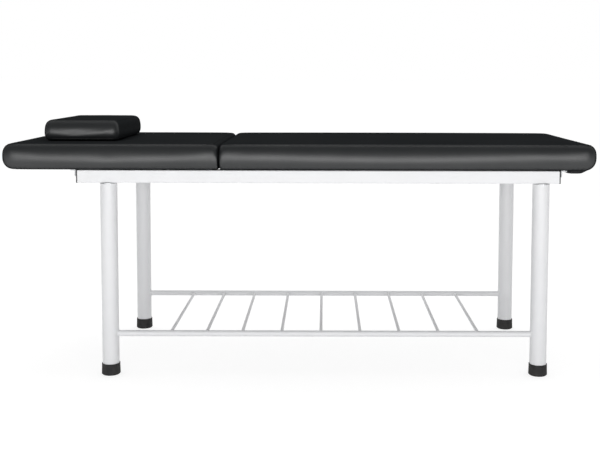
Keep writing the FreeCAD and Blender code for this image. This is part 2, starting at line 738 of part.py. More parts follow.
def prop_pin(end, side):
    span = mirrored(side, PROP_LINE, f"({BRACKET_OUTSIDE} + bracket_plate / 2)")
    head_span = mirrored(side, f"({PROP_LINE} - pin_head)", PROP_LINE)
    shank = rod(f"{end}_prop_pin_shank", "y", (PROP_PIVOT, span[0], HINGE_HEIGHT), PIN_RADIUS,
                f"{span[1]} - {span[0]}")
    head = rod(f"{end}_prop_pin_head", "y", (PROP_PIVOT, head_span[0], HINGE_HEIGHT), PIN_HEAD_RADIUS,
               "pin_head")
    return join(f"{end}_prop_pin", shank, head)


def prop_arm(end, side):
    span = mirrored(side, PROP_LINE, f"({PROP_LINE} + prop_arm_thickness)")
    bar = box(f"{end}_arm_bar", (PROP_ROD, PROP_PIVOT), span,
              (f"({HINGE_HEIGHT} - prop_arm_half)", f"({HINGE_HEIGHT} + prop_arm_half)"))
    ends = [rod(f"{end}_arm_end", "y", (x, span[0], HINGE_HEIGHT), "prop_arm_half", "prop_arm_thickness")
            for x in (PROP_ROD, PROP_PIVOT)]
    bores = [rod(f"{end}_arm_bore", "y", (x, f"{span[0]} - tool_margin", HINGE_HEIGHT), radius,
                 "prop_arm_thickness + 2 * tool_margin")
             for x, radius in ((PROP_ROD, "prop_rod_diameter / 2"), (PROP_PIVOT, f"{PIN_RADIUS} + fit_gap"))]
    keep(cut(f"{end}_arm_cut", join(f"{end}_arm_body", bar, *ends), *bores), f"prop_arm_{end}")


def prop_rack(end, side):
    """A toothed steel plate on the inner face of a side rail, with a notch for each height of the head."""
    body = new_body(f"prop_rack_{end}")
    start = f"(-{RAIL_INSIDE})" if side == "" else f"({RAIL_INSIDE} - rack_plate)"
    sketch = new_sketch(body, f"prop_rack_{end}_side", "XZ_Plane", start)
    tip = f"({HINGE_HEIGHT} - prop_rod_diameter / 2 - rack_tip_gap)"
    root = f"({tip} - rack_notch)"
    low = f"({tip} - rack_plate_drop)"
    first = f"({RAIL_HEAD} + cross_rail_width + rack_end_gap)"
    wall = "(prop_rod_diameter / 2 + rack_notch_gap)"
    count = int(value("notch_count"))
    seats = [f"({SPLIT} - 2 * {PROP_REACH} * cos(first_notch_angle + {i} * notch_step))" for i in range(count)]
    crests = [f"({later} - {wall} - rack_tooth_land)" for later in seats[1:]] + [f"({seats[-1]} + rack_ramp)"]
    corners = [(first, low), (first, tip)]
    for place, crest in zip(seats, crests):
        corners += [(f"{place} - {wall}", tip), (f"{place} - {wall}", root),
                    (f"{place} + tool_margin", root), (crest, tip)]
    corners += [(f"{seats[-1]} + rack_end", tip), (f"{seats[-1]} + rack_end", low)]
    outline(sketch, corners)
    pad(body, sketch, "rack_plate")
    keep(body, f"prop_rack_{end}")


def prop():
    pins = []
    for end, side in (("front", "-"), ("rear", "")):
        prop_bracket(end, side)
        prop_arm(end, side)
        prop_rack(end, side)
        pins.append(prop_pin(end, side))
    keep(group("pins", pins), "prop_pins")
    reach = f"({RAIL_INSIDE} - prop_rod_end_gap)"
    keep(rod("prop_cross", "y", (PROP_ROD, f"-{reach}", HINGE_HEIGHT), "prop_rod_diameter / 2", f"2 * {reach}"),
         "prop_rod")


# Fixings

STRAP_FIXINGS = [(f"({SPLIT} - {along})", y, "screw_diameter")
                 for y in (f"(-{HINGE_LINE})", f"({HINGE_LINE})") for along in ("strap_screw_near", "strap_screw_far")]
BRACKET_LINE = f"({BRACKET_OUTSIDE} + bracket_leaf / 2)"
BRACKET_FIXINGS = [(f"({PROP_PIVOT} + {along})", y, "screw_diameter")
                   for y in (f"(-{BRACKET_LINE})", BRACKET_LINE)
                   for along in ("bracket_screw_half", "-bracket_screw_half")]
TAB_LINE = f"({LEG_LINE} - tab_width / 4)"
TAB_FACES = {
    "head": (f"({RAIL_HEAD} - plug_flange - tab_gap)", -1),
    "foot": (f"({RAIL_FOOT} + plug_flange + tab_gap)", 1),
}


def tab_screws(end):
    face, out = TAB_FACES[end]
    x = f"({face} + {out} * (tab_thickness + tab_foot / 2))"
    return [(x, f"(-{TAB_LINE})", "screw_diameter"), (x, TAB_LINE, "screw_diameter")]


def tabs(end):
    """Two small steel angles under a cushion, just past the rail ends, that keep it from sliding."""
    face, out = TAB_FACES[end]
    pieces = []
    for x, y, _ in tab_screws(end):
        span = (f"({y} - tab_width / 2)", f"({y} + tab_width / 2)")
        upright = box(f"{end}_tab_upright", ordered(face, f"({face} + {out} * tab_thickness)"), span,
                      (f"({CUSHION_BASE} - tab_drop)", CUSHION_BASE))
        foot = box(f"{end}_tab_foot", ordered(face, f"({face} + {out} * (tab_thickness + tab_foot))"), span,
                   (f"({CUSHION_BASE} - hinge_plate)", CUSHION_BASE))
        pieces.append(cut(f"{end}_tab_cut", join(f"{end}_tab", upright, foot), *leaf_holes(f"{end}_tab", [(x, y)])))
    keep(group(f"{end}_tab_pair", pieces), f"{end}_locating_tabs")


def screws(name, places):
    """Pan head screws up through a steel leaf into the board."""
    made = []
    for x, y, diameter in places:
        seat_z = f"({CUSHION_BASE} - hinge_plate)"
        head = rod(f"{name}_screw_head", "z", (x, y, f"{seat_z} - screw_head"), diameter, "screw_head")
        shank = rod(f"{name}_screw_shank", "z", (x, y, seat_z), f"{diameter} / 2",
                    "hinge_plate + cover_thickness + screw_grip")
        made.append(join(f"{name}_screw", head, shank))
    return made


BOARD_BOLTS = [(f"({CROSS_RAILS[rail]} + cross_rail_width / 2)", y, "board_bolt_diameter")
               for rail in BOLTED_RAILS for y in (f"(-{BOLT_LINE})", BOLT_LINE)]


def board_bolts():
    made = []
    for x, y, diameter in BOARD_BOLTS:
        head = rod("board_bolt_head", "z", (x, y, f"{RAIL_BOTTOM} - board_bolt_head"), "board_bolt_head_diameter / 2",
                   "board_bolt_head")
        shank = rod("board_bolt_shank", "z", (x, y, RAIL_BOTTOM), f"{diameter} / 2",
                    f"{BOARD_BOTTOM} + board_bolt_grip - {RAIL_BOTTOM}")
        made.append(join("board_bolt", head, shank))
    return made


side_rails()
cross_rails()
rail_plugs()
legs()
rack()
hinge("front", "-")
hinge("rear", "")
prop()
head_fixings = STRAP_FIXINGS + BRACKET_FIXINGS + tab_screws("head")
foot_fixings = BOARD_BOLTS + tab_screws("foot")
cushion("head", f"(-{HALF_LENGTH})", -1, f"(board_inset + turn_under - {HALF_LENGTH})", head_fixings)
cushion("main", HALF_LENGTH, 1, f"({HALF_LENGTH} - lip_inset - lip_length - lip_land)", foot_fixings)
tabs("head")
tabs("foot")
keep(group("head_screw_set", screws("head", head_fixings)), "head_screws")
keep(group("main_bolt_set", board_bolts() + screws("foot", tab_screws("foot"))), "main_bolts")
pillow()

doc.recompute()
for thing in doc.Objects:
    if "Invalid" in thing.State or "Error" in thing.State:
        raise SystemExit(f"{thing.Name} did not build")
for node in nodes:
    if node.Shape.isNull() or not node.Shape.isValid() or not node.Shape.Solids:
        raise SystemExit(f"{node.Label} is not a sound solid")

os.makedirs("parts", exist_ok=True)
for node in nodes:
    node.Shape.exportStep(f"parts/{node.Label}.step")
    print(node.Label, len(node.Shape.Solids), round(node.Shape.Volume / 1000, 1))
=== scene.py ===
# %% [markdown]
# # A massage table with a lifting head section
# The steel frame, boards and fittings come from the CAD model, which is loaded first and stays
# where it is. Everything that is soft or fine is then built around it: two padded sections, a
# pillow, seams, staples, welds and fastener heads. All lengths are in metres.

# %% Load the frame
import json
import math

import bmesh
import bpy
import numpy as np
from mathutils import Matrix, Vector
from mathutils.bvhtree import BVHTree


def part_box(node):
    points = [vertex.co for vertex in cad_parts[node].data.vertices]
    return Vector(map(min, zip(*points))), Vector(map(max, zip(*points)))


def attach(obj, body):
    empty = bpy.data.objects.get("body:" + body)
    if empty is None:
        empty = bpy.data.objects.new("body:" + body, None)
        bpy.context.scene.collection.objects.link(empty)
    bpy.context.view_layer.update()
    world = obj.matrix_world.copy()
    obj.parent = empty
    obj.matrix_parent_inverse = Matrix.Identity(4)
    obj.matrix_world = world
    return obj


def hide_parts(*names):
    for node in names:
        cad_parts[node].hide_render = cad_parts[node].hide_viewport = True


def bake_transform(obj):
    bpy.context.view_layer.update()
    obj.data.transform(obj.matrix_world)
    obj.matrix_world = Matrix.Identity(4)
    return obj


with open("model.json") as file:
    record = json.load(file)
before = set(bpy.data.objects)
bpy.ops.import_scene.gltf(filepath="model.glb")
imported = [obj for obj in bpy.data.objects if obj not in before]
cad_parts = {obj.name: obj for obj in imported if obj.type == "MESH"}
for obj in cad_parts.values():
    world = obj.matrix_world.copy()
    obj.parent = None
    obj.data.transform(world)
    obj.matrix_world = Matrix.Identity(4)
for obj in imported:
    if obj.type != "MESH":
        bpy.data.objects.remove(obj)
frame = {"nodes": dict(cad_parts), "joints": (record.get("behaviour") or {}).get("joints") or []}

scene = bpy.context.scene
nodes = frame["nodes"]
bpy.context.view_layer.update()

# %% [markdown]
# ## Camera
# The table was seen almost square on from a little above the bed, with the lens pushed sideways
# and down so that the legs stay upright. A shifted lens does the same here: turning the camera
# down instead would make the legs lean together.

# %% Camera
IMAGE = (600, 450)
FOCAL_PIXELS = 942
CENTRE_PIXELS = (325, 143.2)
CAMERA_PLACE = (0.080, -3.235, 0.950)
CAMERA_DIP, CAMERA_ROLL = 4.07, 0.14  # degrees
camera_data = bpy.data.cameras.new("camera")
camera_data.lens = FOCAL_PIXELS * camera_data.sensor_width / IMAGE[0]
camera_data.shift_x = (IMAGE[0] / 2 - CENTRE_PIXELS[0]) / IMAGE[0]
camera_data.shift_y = (CENTRE_PIXELS[1] - IMAGE[1] / 2) / IMAGE[0]
camera = bpy.data.objects.new("camera", camera_data)
tilt = Matrix.Rotation(math.radians(90 - CAMERA_DIP), 4, "X")
roll = Matrix.Rotation(math.radians(CAMERA_ROLL), 4, "Z")
camera.matrix_world = Matrix.Translation(CAMERA_PLACE) @ tilt @ roll
scene.collection.objects.link(camera)
scene.camera = camera
print("lens", round(camera_data.lens, 2), "mm")

# %% [markdown]
# ## Small helpers
# A shader node is easiest to read as one line that says its kind, its settings and what goes
# into each socket. The same few lines turn a finished bmesh into a piece with a finish.

# %% Node and piece helpers
def node(tree, kind, settings=None, **inputs):
    """A shader node; in0, in1 and so on are sockets by number, other names are sockets by name."""
    made = tree.nodes.new("ShaderNode" + kind)
    for name, setting in (settings or {}).items():
        setattr(made, name, setting)
    for name, source in inputs.items():
        numbered = name.startswith("in") and name[2:].isdigit()
        socket = made.inputs[int(name[2:]) if numbered else name.replace("_", " ")]
        if isinstance(source, bpy.types.NodeSocket):
            tree.links.new(source, socket)
        else:
            socket.default_value = source
    return made


def mesh_of(bm, name="form"):
    """A finished bmesh as a mesh."""
    mesh = bpy.data.meshes.new(name)
    bm.to_mesh(mesh)
    bm.free()
    return mesh


def bmesh_of(mesh):
    """A mesh opened for more bmesh work."""
    bm = bmesh.new()
    bm.from_mesh(mesh)
    return bm


def piece_of_mesh(name, mesh, finish, body=None):
    """A mesh as a smooth piece at the origin, with its finish and the body that it moves with."""
    mesh.name = name
    piece = bpy.data.objects.new(name, mesh)
    scene.collection.objects.link(piece)
    mesh.materials.clear()
    mesh.materials.append(finish)
    mesh.polygons.foreach_set("use_smooth", [True] * len(mesh.polygons))
    if body:
        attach(piece, body)
    print(name, len(mesh.polygons), "faces")
    return piece


def piece_from(name, bm, finish, body=None):
    return piece_of_mesh(name, mesh_of(bm, name), finish, body)


# %% [markdown]
# ## Shared surface effects
# Real finishes repeat a few effects: grain pressed into vinyl and plastic, blotches where the
# tone drifts, edges rubbed by handling. Each effect is one node group with named inputs, so
# every material uses the same recipe with its own numbers.

# %% Node group helper
def new_group(name, inputs, outputs):
    group = bpy.data.node_groups.new(name, "ShaderNodeTree")
    for socket, value in inputs.items():
        kind = "NodeSocketVector" if value is None else "NodeSocketFloat"
        made = group.interface.new_socket(socket, in_out="INPUT", socket_type=kind)
        if value is not None:
            made.default_value = value
    for socket in outputs:
        group.interface.new_socket(socket, in_out="OUTPUT", socket_type="NodeSocketFloat")
    given = group.nodes.new("NodeGroupInput").outputs
    return group, given, group.nodes.new("NodeGroupOutput").inputs


# %% Pebble grain, as embossed into vinyl, rubber and moulded plastic
grain, given, out = new_group("pebble_grain", {"Vector": None, "Scale": 800.0, "Creases": 0.6},
                              ["Height"])
bend = node(grain, "TexNoise", Vector=given["Vector"], Scale=180.0, Detail=2.0)
bent = node(grain, "VectorMath", {"operation": "MULTIPLY_ADD"}, in0=bend.outputs["Color"],
            in1=(0.0016, 0.0016, 0.0016), in2=given["Vector"])
cells = node(grain, "TexVoronoi", {"feature": "DISTANCE_TO_EDGE"}, Vector=bent.outputs[0],
             Scale=given["Scale"])
domes = node(grain, "MapRange", {"interpolation_type": "SMOOTHSTEP"}, Value=cells.outputs[0],
             From_Max=0.35)
fine = node(grain, "TexNoise", Vector=given["Vector"], Scale=2600.0, Detail=1.0)
grained = node(grain, "Math", {"operation": "MULTIPLY_ADD"}, in0=domes.outputs[0],
               in1=given["Creases"], in2=fine.outputs[0])
grain.links.new(grained.outputs[0], out["Height"])

# %% Blotches: a slow drift between two values
mottle, given, out = new_group("mottle", {"Vector": None, "Scale": 6.0, "Low": 0.0, "High": 1.0},
                               ["Value"])
clouds = node(mottle, "TexNoise", Vector=given["Vector"], Scale=given["Scale"], Detail=4.0,
              Roughness=0.6)
drift = node(mottle, "MapRange", Value=clouds.outputs[0], From_Min=0.35, From_Max=0.65,
             To_Min=given["Low"], To_Max=given["High"])
mottle.links.new(drift.outputs[0], out["Value"])

# %% Rubbed edges: where a rounded normal leaves the flat one
rubbed, given, out = new_group("rubbed_edges", {"Vector": None, "Radius": 0.0015, "Amount": 1.0},
                               ["Mask"])
rounded = node(rubbed, "Bevel", {"samples": 4}, Radius=given["Radius"])
flat = rubbed.nodes.new("ShaderNodeNewGeometry")
same = node(rubbed, "VectorMath", {"operation": "DOT_PRODUCT"}, in0=rounded.outputs[0],
            in1=flat.outputs["Normal"])
edge = node(rubbed, "MapRange", Value=same.outputs["Value"], From_Min=0.99, From_Max=0.80)
patchy = node(rubbed, "TexNoise", Vector=given["Vector"], Scale=60.0, Detail=4.0)
patches = node(rubbed, "MapRange", Value=patchy.outputs[0], From_Min=0.42, From_Max=0.62)
worn = node(rubbed, "Math", {"operation": "MULTIPLY"}, in0=edge.outputs[0], in1=patches.outputs[0])
masked = node(rubbed, "Math", {"operation": "MULTIPLY", "use_clamp": True}, in0=worn.outputs[0],
              in1=given["Amount"])
rubbed.links.new(masked.outputs[0], out["Mask"])

# %% Streaks: noise stretched along one axis, for brushing and wood
streaks, given, out = new_group("streaks", {"Vector": None, "Along": 4.0, "Across": 300.0},
                                ["Value"])
parts = node(streaks, "SeparateXYZ", Vector=given["Vector"])
x, y, z = [node(streaks, "Math", {"operation": "MULTIPLY"}, in0=part, in1=given[way]).outputs[0]
           for part, way in zip(parts.outputs, ("Along", "Across", "Across"))]
drawn = node(streaks, "CombineXYZ", X=x, Y=y, Z=z)
lines = node(streaks, "TexNoise", Vector=drawn.outputs[0], Scale=1.0, Detail=5.0, Distortion=0.4)
streaks.links.new(lines.outputs[0], out["Value"])
print("effects", [g.name for g in bpy.data.node_groups])


# %% Material helper
def new_material(name, **shine):
    """An empty Principled material, with its tree, shader and object coordinates."""
    material = bpy.data.materials.new(name)
    material.use_nodes = True
    tree = material.node_tree
    shader = next(n for n in tree.nodes if n.type == "BSDF_PRINCIPLED")
    for socket, value in shine.items():
        shader.inputs[socket.replace("_", " ")].default_value = value
    where = tree.nodes.new("ShaderNodeTexCoord").outputs["Object"]
    return material, tree, shader, where


def use(tree, group, where, **values):
    """One shared effect placed in a material."""
    placed = node(tree, "Group", {"node_tree": group}, Vector=where)
    for socket, value in values.items():
        placed.inputs[socket].default_value = value
    return placed.outputs[0]


def between(tree, mask, low, high):
    """A colour that runs from low to high with a mask."""
    mixed = node(tree, "Mix", {"data_type": "RGBA"}, in0=mask)
    mixed.inputs[6].default_value = (*low, 1)
    mixed.inputs[7].default_value = (*high, 1)
    return mixed.outputs[2]


def bumped(tree, height, distance, strength=1.0):
    return node(tree, "Bump", Height=height, Distance=distance, Strength=strength).outputs[0]


def feed(tree, shader, **sources):
    for socket, source in sources.items():
        tree.links.new(source, shader.inputs[socket.replace("_", " ")])


# %% [markdown]
# ## Black vinyl
# The cover is soft black vinyl with a small pebble grain and a satin lacquer. A plain glossy
# shader turns pale where it is seen at a low angle, which the lacquer on this matt base does not.
# So the base has no shine of its own and the lacquer is a coat, which a Layer Weight node thins
# towards grazing angles.

# %% Black vinyl
vinyl, tree, shader, where = new_material("black_vinyl", Specular_IOR_Level=0.0, Roughness=0.7,
                                          Coat_Roughness=0.37, Coat_IOR=1.60)
tone = use(tree, mottle, where, Scale=5.0)
pebbles = use(tree, grain, where, Scale=700.0, Creases=0.8)
facing = node(tree, "LayerWeight", Blend=0.5).outputs["Facing"]
lacquer = node(tree, "MapRange", {"interpolation_type": "SMOOTHSTEP"}, Value=facing, From_Min=0.18,
               From_Max=0.74, To_Min=1.0, To_Max=0.01).outputs[0]
worn_lacquer = use(tree, mottle, where, Scale=9.0, Low=0.92, High=1.0)
coat = node(tree, "Math", {"operation": "MULTIPLY"}, in0=lacquer, in1=worn_lacquer).outputs[0]
relief = bumped(tree, pebbles, 0.0001, 0.5)
skin = node(tree, "TexVoronoi", {"feature": "SMOOTH_F1"}, Vector=where, Scale=750.0)
lacquer_relief = bumped(tree, skin.outputs["Distance"], 0.00016, 0.5)
black = between(tree, tone, (0.0138, 0.0153, 0.0164), (0.0164, 0.0179, 0.0190))
feed(tree, shader, Base_Color=black, Coat_Weight=coat, Normal=relief, Coat_Normal=lacquer_relief)

# %% [markdown]
# ## White powder coat
# The frame is steel tube with baked white powder, which flows out into a faint orange peel. It is
# bright but not pure white, a touch cooler where it is thin, and dulls a little along handled
# edges.

# %% White powder coat
white, tree, shader, where = new_material("white_paint", Specular_IOR_Level=0.5)
tone = use(tree, mottle, where, Scale=7.0)
peel = node(tree, "TexNoise", Vector=where, Scale=420.0, Detail=2.0).outputs[0]
handled = use(tree, rubbed, where, Radius=0.0012, Amount=0.5)
clean = between(tree, tone, (0.850, 0.856, 0.872), (0.872, 0.876, 0.888))
aged = node(tree, "Mix", {"data_type": "RGBA"}, in0=handled, in6=clean)
aged.inputs[7].default_value = (0.70, 0.70, 0.70, 1)
feed(tree, shader, Base_Color=aged.outputs[2],
     Roughness=use(tree, mottle, where, Scale=14.0, Low=0.30, High=0.42),
     Normal=bumped(tree, peel, 0.0002, 0.25))

# %% [markdown]
# ## Rubber, plastic, zinc, wood and cloth
# The feet are dull moulded rubber, the plugs satin black plastic and the small fittings zinc
# plated steel. The boards are birch plywood and a thin black spunbond cloth closes the underside.

# %% Black rubber
rubber, tree, shader, where = new_material("black_rubber", Specular_IOR_Level=0.3)
dusty = use(tree, mottle, where, Scale=40.0)
feed(tree, shader, Base_Color=between(tree, dusty, (0.020, 0.020, 0.021), (0.034, 0.033, 0.032)),
     Roughness=use(tree, mottle, where, Scale=60.0, Low=0.62, High=0.80),
     Normal=bumped(tree, use(tree, grain, where, Scale=1500.0, Creases=0.3), 0.0001, 0.4))

# %% Black plastic
plastic, tree, shader, where = new_material("black_plastic")
feed(tree, shader, Base_Color=between(tree, use(tree, rubbed, where, Radius=0.0008, Amount=0.8),
                                      (0.030, 0.030, 0.031), (0.085, 0.085, 0.085)),
     Roughness=use(tree, mottle, where, Scale=50.0, Low=0.38, High=0.52),
     Normal=bumped(tree, use(tree, grain, where, Scale=1800.0, Creases=0.5), 0.00008, 0.35))

# %% Zinc plated steel
zinc, tree, shader, where = new_material("zinc_steel")
brushed = use(tree, streaks, where, Along=30.0, Across=420.0)
crystals = node(tree, "TexVoronoi", Vector=where, Scale=120.0).outputs["Color"]
spangle = node(tree, "SeparateColor", Color=crystals).outputs[0]
dull = node(tree, "Math", {"operation": "MULTIPLY_ADD"}, in0=spangle, in1=0.10, in2=0.40).outputs[0]
feed(tree, shader, Base_Color=between(tree, brushed, (0.36, 0.365, 0.375), (0.50, 0.505, 0.515)),
     Metallic=use(tree, mottle, where, Scale=30.0, Low=0.92, High=1.0), Roughness=dull,
     Normal=bumped(tree, brushed, 0.00003, 0.3))

# %% Plywood
plywood, tree, shader, where = new_material("plywood", Specular_IOR_Level=0.3)
figure = use(tree, streaks, where, Along=3.0, Across=110.0)
veneers = node(tree, "TexWave", {"bands_direction": "Z"}, Vector=where, Scale=210.0, Distortion=0.6)
both = node(tree, "Math", {"operation": "MULTIPLY"}, in0=figure, in1=veneers.outputs["Fac"]).outputs[0]
feed(tree, shader, Base_Color=between(tree, both, (0.44, 0.30, 0.17), (0.70, 0.54, 0.34)),
     Roughness=use(tree, mottle, where, Scale=20.0, Low=0.55, High=0.75),
     Normal=bumped(tree, figure, 0.0002, 0.5))

# %% Foam
foam, tree, shader, where = new_material("foam", Specular_IOR_Level=0.2)
cells = node(tree, "TexVoronoi", {"feature": "DISTANCE_TO_EDGE"}, Vector=where, Scale=900.0).outputs[0]
tone = use(tree, mottle, where, Scale=12.0)
feed(tree, shader, Base_Color=between(tree, tone, (0.72, 0.66, 0.48), (0.84, 0.80, 0.64)),
     Roughness=use(tree, mottle, where, Scale=30.0, Low=0.85, High=0.95),
     Normal=bumped(tree, cells, 0.0006, 0.6))

# %% Spunbond dust cloth
dust_cloth, tree, shader, where = new_material("dust_cloth", Specular_IOR_Level=0.2)
dots = node(tree, "TexVoronoi", Vector=where, Scale=420.0, Randomness=0.15).outputs["Distance"]
fibres = node(tree, "TexNoise", Vector=where, Scale=1500.0, Detail=3.0, Distortion=2.0).outputs[0]
felt = node(tree, "Math", {"operation": "ADD"}, in0=dots, in1=fibres).outputs[0]
feed(tree, shader, Base_Color=between(tree, fibres, (0.012, 0.012, 0.013), (0.045, 0.045, 0.047)),
     Roughness=use(tree, mottle, where, Scale=50.0, Low=0.80, High=0.95),
     Normal=bumped(tree, felt, 0.0003, 0.7))
FINISHES = {"white_paint": white, "black_vinyl": vinyl, "black_rubber": rubber,
            "black_plastic": plastic, "zinc_steel": zinc, "plywood": plywood, "foam": foam,
            "dust_cloth": dust_cloth}
print("finishes", sorted(FINISHES))

# %% [markdown]
# ## Finishes on the CAD nodes
# Every node of the frame already has its place and shape, so it only needs its real finish: a
# word in its name says which.

# %% Dress the CAD nodes
# a word in the node's name gives its finish, and a later row wins; what fits no row is white
NODE_FINISH = (
    ("cover", "black_vinyl"), ("dust_cover", "dust_cloth"), ("foam", "foam"), ("board", "plywood"),
    ("rubber_foot", "black_rubber"), ("plugs", "black_plastic"), ("hinge", "zinc_steel"),
    ("prop", "zinc_steel"), ("tabs", "zinc_steel"), ("bolts", "zinc_steel"),
    ("screws", "zinc_steel"), ("stubs", "zinc_steel"), ("cross_rail", "white_paint"),
)
for name, cad_node in nodes.items():
    finish = "white_paint"
    for word, slot in NODE_FINISH:
        if word in name:
            finish = slot
    cad_node.data.materials.clear()
    cad_node.data.materials.append(FINISHES[finish])
print("dressed", len(nodes), "nodes")

# %% [markdown]
# ## Studio
# A pale sweep, one long soft lamp in front that draws the highlight along the padding, and a large
# soft lamp overhead. The world is a white sweep behind the table and a dimmer room in front of it.
# To the camera, and in clear or shiny things that look that way, the sweep is plain white.

# %% Sweep and world
def ray_kinds(tree):
    """1 for rays that shiny or clear surfaces send on, and 1 for rays from the camera."""
    path = tree.nodes.new("ShaderNodeLightPath").outputs
    shiny = node(tree, "Math", {"operation": "ADD", "use_clamp": True}, in0=path["Is Glossy Ray"],
                 in1=path["Is Transmission Ray"])
    return shiny.outputs[0], path["Is Camera Ray"]


def front_to_back(tree, y, start, stop, low, high):
    """A level of light that changes smoothly from the front of the room to its back."""
    return node(tree, "MapRange", {"interpolation_type": "SMOOTHSTEP"}, Value=y, From_Min=start,
                From_Max=stop, To_Min=low, To_Max=high).outputs[0]


world = bpy.data.worlds.new("studio")
scene.world = world
world.use_nodes = True
tree = world.node_tree
heading = tree.nodes.new("ShaderNodeTexCoord").outputs["Generated"]
y = node(tree, "SeparateXYZ", Vector=heading).outputs["Y"]
fill = front_to_back(tree, y, -0.5, 0.3, 0.20, 0.92)
mirrored = front_to_back(tree, y, 0.12, 0.5, 0.20, 1.0)
shiny, seen = ray_kinds(tree)
sent_on = node(tree, "Mix", {"data_type": "FLOAT"}, in0=shiny, in2=fill, in3=mirrored).outputs[0]
level = node(tree, "Math", {"operation": "MAXIMUM"}, in0=sent_on, in1=seen).outputs[0]
backdrop = next(n for n in tree.nodes if n.type == "BACKGROUND")
backdrop.inputs["Color"].default_value = (1, 1, 1, 1)
tree.links.new(level, backdrop.inputs["Strength"])

# %% Floor that stays white to the camera and keeps the soft shadow
FLOOR_SIZE = 400
FLOOR_CLEARANCE = 0.0004
floor_finish = bpy.data.materials.new("floor")
floor_finish.use_nodes = True
tree = floor_finish.node_tree
tree.nodes.clear()
paper = node(tree, "BsdfDiffuse", Color=(0.35, 0.35, 0.35, 1))
glow = node(tree, "Emission", Color=(1, 1, 1, 1), Strength=0.80)
lit = node(tree, "AddShader", in0=paper.outputs[0], in1=glow.outputs[0])
bounce = node(tree, "BsdfDiffuse", Color=(0.80, 0.80, 0.80, 1))
shiny, seen = ray_kinds(tree)
either = node(tree, "Math", {"operation": "MAXIMUM"}, in0=shiny, in1=seen).outputs[0]
shown = node(tree, "MixShader", in0=either, in1=bounce.outputs[0], in2=lit.outputs[0])
clear = node(tree, "BsdfTransparent")
from_below = tree.nodes.new("ShaderNodeNewGeometry").outputs["Backfacing"]
both_sides = node(tree, "MixShader", in0=from_below, in1=shown.outputs[0], in2=clear.outputs[0])
node(tree, "OutputMaterial", Surface=both_sides.outputs[0])
bm = bmesh.new()
bmesh.ops.create_grid(bm, x_segments=1, y_segments=1, size=FLOOR_SIZE / 2)
bmesh.ops.translate(bm, vec=(0, 0, -FLOOR_CLEARANCE), verts=bm.verts)
floor_mesh = mesh_of(bm, "floor")
floor_mesh.materials.append(floor_finish)
floor = bpy.data.objects.new("floor", floor_mesh)
scene.collection.objects.link(floor)


# %% Lamps
def soft_lamp(name, place, aim, width, height, power, mirrored=True):
    """A rectangular lamp that the camera doesn't see, turned towards a point."""
    data = bpy.data.lights.new(name, "AREA")
    data.shape = "RECTANGLE"
    data.size, data.size_y = width, height
    data.energy = power
    lamp = bpy.data.objects.new(name, data)
    turned = (Vector(aim) - Vector(place)).to_track_quat("-Z", "Y").to_matrix().to_4x4()
    lamp.matrix_world = Matrix.Translation(place) @ turned
    lamp.visible_camera = False
    lamp.visible_glossy = mirrored
    scene.collection.objects.link(lamp)


soft_lamp("front_strip", (0.1, -3.45, 0.67), (0.1, 0, 0.67), 5.2, 1.10, 73)
soft_lamp("overhead", (0.0, 0.3, 3.2), (0.0, 0.1, 0.0), 3.2, 1.8, 20, mirrored=False)
scene.view_settings.view_transform = "Standard"

# %% [markdown]
# ## The two padded sections
# Each section is a plywood board under firm foam, wrapped in one vinyl cover: a flat top panel
# sewn to a boxing strip that rolls over the side and is stapled underneath. It could be carved
# from a solid, but padding has tell-tale softness: it crowns, pinches at its seam and rounds off
# into the split. So a block is shaped, remeshed evenly, and blown up gently as cloth.

# %% Sizes of the padding
SPLIT_X = frame["joints"][0]["pos_m"][0]
BED_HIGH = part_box("main_cover")[1]
HEAD_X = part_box("head_cover")[0].x
SEAT_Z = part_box("head_cover")[0].z
FOOT_X = BED_HIGH.x
HALF_WIDTH = BED_HIGH.y
TOP_DROP = 0.003
TOP_Z = BED_HIGH.z - TOP_DROP
PILLOW_LOW, PILLOW_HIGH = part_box("pillow_cover")
PILLOW_BASE = PILLOW_LOW.z - TOP_DROP
SPLIT_GAP = 0.0006
PLAN_CORNER = 0.042
SIDE_GROWTH = 0.0015
END_GROWTH = 0.009
# how far the side stands in from the full width, at heights above the seat
SIDE_HEIGHTS = (0, 0.002, 0.006, 0.011, 0.018, 0.027, 0.037, 0.047, 0.057, 0.066, 0.0745, 0.0805,
                0.083)
SIDE_INSETS = (0.028, 0.0205, 0.0145, 0.0092, 0.0040, 0.0011, 0, 0, 0.0006, 0.0026, 0.0072, 0.0145,
               0.022)
print("split", SPLIT_X, "bed", round(HEAD_X, 4), round(FOOT_X, 4), round(SEAT_Z, 4), round(TOP_Z, 4))


# %% Arrays in and out of a mesh
def places(mesh):
    """The vertices of a mesh as rows of x, y and z."""
    co = np.empty(len(mesh.vertices) * 3)
    mesh.vertices.foreach_get("co", co)
    return co.reshape(-1, 3)


def put(mesh, co):
    mesh.vertices.foreach_set("co", co.ravel())
    mesh.update()


def smoothstep(value, low, high):
    t = np.clip((value - low) / (high - low), 0, 1)
    return t * t * (3 - 2 * t)


def fallen(distance, radius):
    """How far a quarter round of this radius has dropped, at a distance from its edge."""
    inside = radius - np.clip(distance, 0, radius)
    return radius - np.sqrt(radius ** 2 - inside ** 2)


def clamped(value, low, high):
    return min(max(value, low), high)


# %% Meshes through a modifier
def helper(data):
    """An object that only carries a mesh or a curve through its modifiers."""
    holder = bpy.data.objects.new("helper", data)
    scene.collection.objects.link(holder)
    return holder


def settled(holder):
    """The mesh that a helper ends up with; the helper itself goes."""
    bpy.context.view_layer.update()
    shaped = holder.evaluated_get(bpy.context.evaluated_depsgraph_get())
    made = bpy.data.meshes.new_from_object(shaped)
    bpy.data.objects.remove(holder)
    return made


def evened(bm, voxel):
    """The same form as an even mesh of small quads; overlapping parts become one."""
    holder = helper(mesh_of(bm))
    remesh = holder.modifiers.new("even", "REMESH")
    remesh.mode = "VOXEL"
    remesh.voxel_size = voxel
    return settled(holder)


